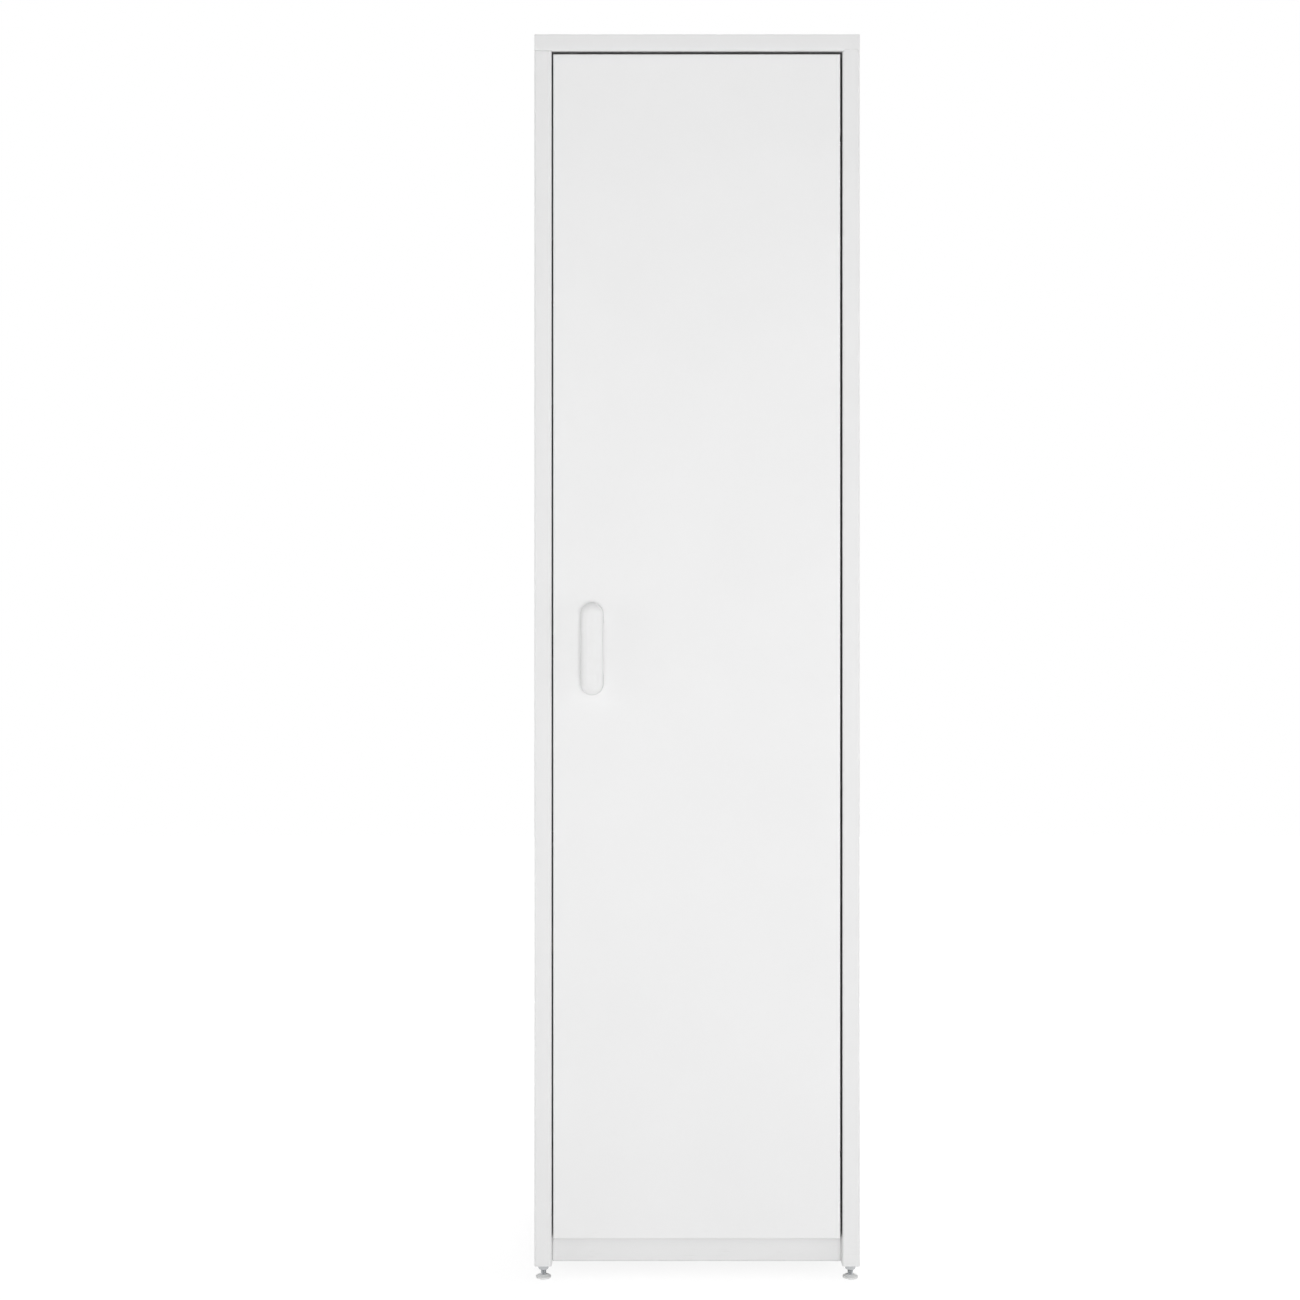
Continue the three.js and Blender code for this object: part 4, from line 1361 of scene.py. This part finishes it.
@dataclass
class Door:
    """Full-height door: a folded skin, its back sheet and stiffener, and what is fixed to it."""

    sheet: float = 0.8 * MM
    fold: float = 3 * MM
    corner: float = 0.9 * MM
    hinge_places: tuple[float, float] = (182 * MM, 1648 * MM)
    notch_height: float = 8 * MM
    notch_from: float = 1.1 * MM
    strike_edge: float = 0.25 * MM
    hinge_edge: float = 0.3 * MM
    handle_screw: PanScrew = PanScrew(4 * MM, 2.4 * MM)

    def build(self, frame: dict) -> None:
        """Build the skin, the handle, the screws and the smaller parts.

        Args:
            frame: the loaded frame.
        """
        self.skin()
        dress(frame, "door_inner_panel", DOOR_COAT)
        dress(frame, "door_stiffener", ZINC)
        BowHandle().build()
        for node in ("handle_screw_lower", "handle_screw_upper"):
            self.handle_screw.build(node, "door")
        eased_copy(frame, "catch_strike", ZINC, "door", self.strike_edge)
        for level in ("lower", "upper"):
            for part in ("block", "pin"):
                eased_copy(frame, f"hinge_{level}_{part}", ZINC, "door", self.hinge_edge)

    def skin(self) -> None:
        """Build the skin: a pan with a soft front edge and a notch at each hinge.

        Its outline is drawn with Z along and X across, so that the notches fall on the edge
        at high x.
        """
        low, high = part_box("door_skin")
        half_notch = self.notch_height / 2
        marks = [place + side * half_notch for place in self.hinge_places for side in (-1, 1)]
        outline = round_square((low.z, low.x), (high.z, high.x), self.corner, steps=4, marks=marks)
        flat = outline(0.0)
        stretch = (flat + np.roll(flat, -1, axis=0)) / 2
        at_hinge = np.any(np.abs(stretch[:, :1] - np.asarray(self.hinge_places)) < half_notch, axis=1)
        at_hinge &= stretch[:, 1] > high.x - EASE / 2
        plane = Plane(a=(0, 0, 1), b=(1, 0, 0), run=(0, 1, 0), origin=(0, low.y, 0))
        pan = folded_pan(plane, outline, self.fold, high.y - low.y, self.sheet, at_hinge, self.notch_from)
        pan.piece("door_skin_sheet", DOOR_COAT, "door", "door_skin")


# Hardware


@dataclass
class Buffer:
    """Rubber buffer: a disc with a soft edge in front, a stem, and a tail behind the sheet."""

    disc: float = 3.4 * MM
    face_rings: tuple[float, float] = (0.3, 0.7)
    soft_edge: float = 1.2 * MM
    stem: float = 2.5 * MM
    tail: float = 3.5 * MM
    tail_length: float = 3 * MM
    tail_chamfer: float = 0.8 * MM
    edge_steps: int = 8
    round_steps: int = 48

    def build(self, node: str) -> None:
        """Build the buffer: a list of radii along its axis, carried round a circle.

        The face's rings are shares of its radius, and its edge is a quarter circle.

        Args:
            node: CAD node that it stands for.
        """
        low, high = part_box(node)
        radius, depth = (high.x - low.x) / 2, high.y - low.y
        face = [[share * radius, 0.0] for share in self.face_rings]
        soft = self.soft_edge * (1 - arc((0, 0), 1.0, 90, 0, self.edge_steps))
        rounded = np.array([radius - HAIR, 0.0]) + np.array([-1, 1]) * soft
        tail_start = depth - self.tail_length
        radii, levels = np.concatenate([
            face, rounded,
            [[radius, self.disc], [self.stem, self.disc], [self.stem, tail_start], [self.tail, tail_start],
             [self.tail, depth - self.tail_chamfer], [self.tail - self.tail_chamfer, depth]]]).T
        middle = (low + high) / 2
        plane = Plane(a=(1, 0, 0), b=(0, 0, 1), run=(0, 1, 0), origin=(middle.x, low.y, middle.z))
        grid = plane.rings(circle(radius, self.round_steps), np.stack([radius - radii, levels], axis=-1))
        Surface().add_bar(grid).piece(f"{node}_rubber", GREY_RUBBER, "frame", node)


@dataclass
class Hardware:
    """Hinge brackets, magnetic catch and rubber buffers on the frame."""

    bracket_edge: float = 0.3 * MM
    housing_edge: float = 0.6 * MM
    catch_screw: PanScrew = PanScrew(3.5 * MM, 1.8 * MM, 0.45 * MM, 0.9 * MM)

    def build(self, frame: dict) -> None:
        """Build the brackets, the catch and the buffers.

        Args:
            frame: the loaded frame.
        """
        for level in ("lower", "upper"):
            eased_copy(frame, f"hinge_{level}_bracket", ZINC, "frame", self.bracket_edge)
        eased_copy(frame, "catch_housing", CATCH_PLASTIC, "frame", self.housing_edge)
        dress(frame, "catch_magnet", FERRITE)
        for level in ("lower", "upper"):
            self.catch_screw.build(f"catch_screw_{level}", "frame")
        for hand in ("left", "right"):
            Buffer().build(f"buffer_{hand}")


@dataclass
class LevellingFoot:
    """Levelling foot: a turned pad and a cut thread, chrome plated."""

    pad_edge: float = 1 * MM
    pad_edge_steps: int = 6
    sole_inset: float = 1.6 * MM
    rim_height: float = 2.6 * MM
    brow: float = 0.5 * MM
    brow_turn: float = 68.0
    brow_steps: int = 5
    pad_height: float = 5.6 * MM
    neck_radius: float = 4.5 * MM
    flare_lift: float = 0.45 * MM
    flare_steps: int = 10
    thread_radius: float = 4 * MM
    pitch: float = 1.25 * MM
    thread_depth: float = 0.61
    flat_share: float = 0.1
    run_out: float = 0.6
    lead_in: float = 0.8 * MM
    rows_per_turn: int = 10
    round_steps: int = 48

    def build(self, node: str) -> None:
        """Build the foot: its pad's profile turned about Z, then the thread.

        Args:
            node: CAD node that it stands for.
        """
        low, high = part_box(node)
        profile = self.pad_profile((high.x - low.x) / 2)
        heights, threaded = self.thread(high.z - low.z)
        radii = np.concatenate([np.repeat(profile[:, :1], self.round_steps, axis=1), threaded])
        middle = (low + high) / 2
        grid = turned(radii, np.concatenate([profile[:, 1], heights]), (middle.x, middle.y, low.z))
        Surface().add_bar(grid).piece(f"{node}_turned", CHROME, node, node)

    def pad_profile(self, radius: float) -> np.ndarray:
        """Work out the pad's profile, from the sole to the neck.

        It rises from a rim with a round edge in a shallow parabola to the neck.

        Args:
            radius: radius of the pad.

        Returns:
            Rows of (radius, height), shape (n, 2).
        """
        edge, brow_middle = self.pad_edge, (radius - self.brow, self.rim_height - self.brow)
        base = arc((radius - edge, edge), edge, 270, 360, self.pad_edge_steps)
        brow = arc(brow_middle, self.brow, 0, self.brow_turn, self.brow_steps)
        share = np.linspace(0, 1, self.flare_steps + 1)[1:, None]
        start, neck = brow[-1], np.array([self.neck_radius, self.pad_height])
        bend = (start + neck) / 2 + [0.0, self.flare_lift]
        flare = (1 - share) ** 2 * start + 2 * share * (1 - share) * bend + share ** 2 * neck
        sole, rim = [[radius - self.sole_inset, 0.0]], [[radius, self.rim_height / 2]]
        return np.concatenate([sole, base, rim, brow, flare])

    def thread(self, length: float) -> tuple[np.ndarray, np.ndarray]:
        """Work out the single-start thread.

        Its radius is a triangle wave with flat crests and roots, whose phase is the height over
        the pitch less the part of a turn. It fades out at the neck and narrows at the upper end.
        The depth and the run-out are shares of the pitch.

        Args:
            length: height of the whole foot.

        Returns:
            Height of every row, and its radii, shape (rows, columns).
        """
        step = self.pitch / self.rows_per_turn
        heights = np.arange(self.pad_height + step, length, step)
        phase = np.mod(heights[:, None] / self.pitch - full_turn(self.round_steps) / (2 * math.pi), 1.0)
        wave = np.clip((np.abs(2 * phase - 1) - self.flat_share) / (1 - 2 * self.flat_share), 0, 1)
        fade = np.clip((heights - self.pad_height) / (self.run_out * self.pitch), 0, 1)[:, None]
        lead_in = np.clip(heights - length + self.lead_in, 0, None)[:, None]
        return heights, self.thread_radius - self.thread_depth * self.pitch * wave * fade - lead_in


@dataclass
class LockNut:
    """Lock nut of a foot: a hexagon whose corners a cone turns off above and below."""

    hole_radius: float = 4.3 * MM
    hole_chamfer: float = 0.5 * MM
    chamfer: float = 0.9 * MM
    chamfer_rows: int = 8
    cone_over: float = 0.3 * MM
    round_steps: int = 144

    def build(self, node: str) -> None:
        """Build the nut.

        At every angle the outside is the nearer of the hexagon's side and the cone, and the
        profile closes through the hole.

        Args:
            node: CAD node that it stands for.
        """
        low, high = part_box(node)
        apothem, height = (high.y - low.y) / 2, high.z - low.z
        sixth = math.pi / 3
        hexagon = apothem / np.cos(np.mod(full_turn(self.round_steps), sixth) - sixth / 2)
        cone_top = apothem / math.cos(sixth / 2) + self.cone_over
        rise = np.linspace(0, self.chamfer, self.chamfer_rows)
        cone = apothem + (cone_top - apothem) * rise / self.chamfer
        outside = np.minimum(hexagon, np.concatenate([cone, cone[::-1]])[:, None])
        hole, chamfer = self.hole_radius, self.hole_chamfer
        bore = np.array([[hole + chamfer], [hole], [hole], [hole + chamfer]])
        radii = np.concatenate([outside, np.repeat(bore, self.round_steps, axis=1)])
        levels = np.concatenate([rise, height - rise[::-1], [height, height - chamfer, chamfer, 0.0]])
        middle = (low + high) / 2
        grid = turned(radii, levels, (middle.x, middle.y, low.z))
        Surface().add_ring(grid).piece(f"{node}_hexagon", CHROME, "frame", node)


# Studio


@dataclass
class Softbox:
    """Large area lamp that looks at a point of the object, and may be kept out of its reflections."""

    name: str
    place: tuple[float, float, float]
    target: tuple[float, float, float]
    width: float
    height: float
    power: float
    mirrored: bool = True

    def build(self) -> None:
        """Build the lamp."""
        lamp = bpy.data.lights.new(self.name, "AREA")
        lamp.shape = "RECTANGLE"
        lamp.size, lamp.size_y, lamp.energy = self.width, self.height, self.power
        holder = bpy.data.objects.new(self.name, lamp)
        holder.location = self.place
        look = Vector(self.target) - Vector(self.place)
        holder.rotation_euler = look.to_track_quat("-Z", "Y").to_euler()
        holder.visible_glossy = self.mirrored
        bpy.context.scene.collection.objects.link(holder)


@dataclass
class Studio:
    """White studio: the photograph's camera, soft lamps, a white world and a pale floor."""

    lens: float = 50.0
    sensor: float = 36.0
    camera_x: float = -68 * MM
    camera_height: float = 910 * MM
    camera_distance: float = 2607 * MM
    world_level: float = 0.27
    floor_half: float = 6.0
    floor_tone: str = "#f0f0f0"
    floor_glow: float = 1.16
    shadow: Span = Span(0.7, 1.9, 0.24, 0.0)
    lamps: tuple[Softbox, ...] = (
        Softbox("front", (0.1, -4.5, 0.6), (0.0, -0.2, 0.55), 2.4, 1.2, 76, False),
        Softbox("key_high", (0.25, -3.7, 2.0), (0.0, -0.2, 0.4), 1.8, 1.0, 12, False),
        Softbox("strip_right", (1.9, -2.9, 1.0), (0.0, -0.2, 0.9), 0.16, 1.7, 1.5),
        Softbox("side_right", (2.7, -1.0, 0.9), (0.1, -0.1, 0.8), 1.4, 1.8, 13),
        Softbox("side_left", (-2.7, -1.0, 0.9), (-0.1, -0.1, 0.8), 1.4, 1.8, 12),
        Softbox("top", (0.2, 0.4, 3.6), (0.0, 0.0, 1.0), 2.2, 2.2, 22),
        Softbox("back", (0.6, 3.2, 1.6), (0.0, 0.2, 0.9), 1.8, 1.8, 46, False),
    )

    def build(self) -> None:
        """Build the camera, the lamps, the world and the floor."""
        self.camera()
        for lamp in self.lamps:
            lamp.build()
        self.world()
        self.floor()
        bpy.context.scene.view_settings.view_transform = "Standard"

    def camera(self) -> None:
        """Place the camera square to the front, a little left of the cupboard's middle."""
        camera = bpy.data.cameras.new("camera")
        camera.lens, camera.sensor_width = self.lens, self.sensor
        holder = bpy.data.objects.new("camera", camera)
        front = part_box("post_front_left")[0].y
        holder.location = (self.camera_x, front - self.camera_distance, self.camera_height)
        holder.rotation_euler = (math.radians(90), 0, 0)
        bpy.context.scene.collection.objects.link(holder)
        bpy.context.scene.camera = holder

    def seen(self, nodes: Nodes) -> Feed:
        """Give 1 to rays that show the surroundings: seen, mirrored or looked at through glass.

        Args:
            nodes: node tree that asks.

        Returns:
            Node whose first output is 1 or 0.
        """
        path = nodes.add("LightPath").outputs
        most = {"operation": "MAXIMUM"}
        either = nodes.add("Math", most, {0: path["Is Camera Ray"], 1: path["Is Glossy Ray"]})
        return nodes.add("Math", most, {0: either, 1: path["Is Transmission Ray"]})

    def world(self) -> None:
        """Make the world an even soft light that is seen as plain white."""
        world = bpy.data.worlds.new("white_studio")
        bpy.context.scene.world = world
        world.use_nodes = True
        nodes = Nodes(world.node_tree)
        light, white = (nodes.add("Background", {"Color": linear(WHITE), "Strength": level})
                        for level in (self.world_level, 1.0))
        mix = nodes.add("MixShader", links={0: self.seen(nodes), 1: light, 2: white})
        nodes.add("OutputWorld", links={"Surface": mix})

    def floor(self) -> None:
        """Lay a pale floor that is seen as white and still takes the object's shadow.

        Close to the object a part of the matt floor is seen, and its share falls with the
        distance, so that the shadow fades into the white.
        """
        half = self.floor_half
        mesh = bpy.data.meshes.new("floor")
        corners = [(-half, -half, 0), (half, -half, 0), (half, half, 0), (-half, half, 0)]
        mesh.from_pydata(corners, [], [(0, 1, 2, 3)])
        floor = bpy.data.objects.new("floor", mesh)
        bpy.context.scene.collection.objects.link(floor)
        material = bpy.data.materials.new("pale_floor")
        mesh.materials.append(material)
        material.use_nodes = True
        nodes = Nodes(material.node_tree)
        matt = nodes.add("BsdfDiffuse", {"Color": linear(self.floor_tone)})
        white = nodes.add("Emission", {"Color": linear(WHITE), "Strength": self.floor_glow})
        away = nodes.add("VectorMath", {"operation": "LENGTH"}, {0: nodes.place}).outputs["Value"]
        shaded = nodes.add("MapRange", self.shadow.settings(), {"Value": away})
        shown = nodes.add("MixShader", links={0: shaded, 1: white, 2: matt})
        mix = nodes.add("MixShader", links={0: self.seen(nodes), 1: matt, 2: shown})
        nodes.add("OutputMaterial", links={"Surface": mix})


# The whole scene


def main() -> None:
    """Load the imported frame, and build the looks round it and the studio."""
    logging.basicConfig(level=logging.INFO, format="%(message)s")
    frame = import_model()
    TubeFrame().build()
    SheetWork().build()
    Trays().build(frame)
    Door().build(frame)
    Hardware().build(frame)
    for corner in ("front_left", "front_right", "rear_left", "rear_right"):
        LevellingFoot().build(f"foot_{corner}")
        LockNut().build(f"foot_nut_{corner}")
    Studio().build()
    bpy.context.view_layer.update()


if __name__ == "__main__":
    main()
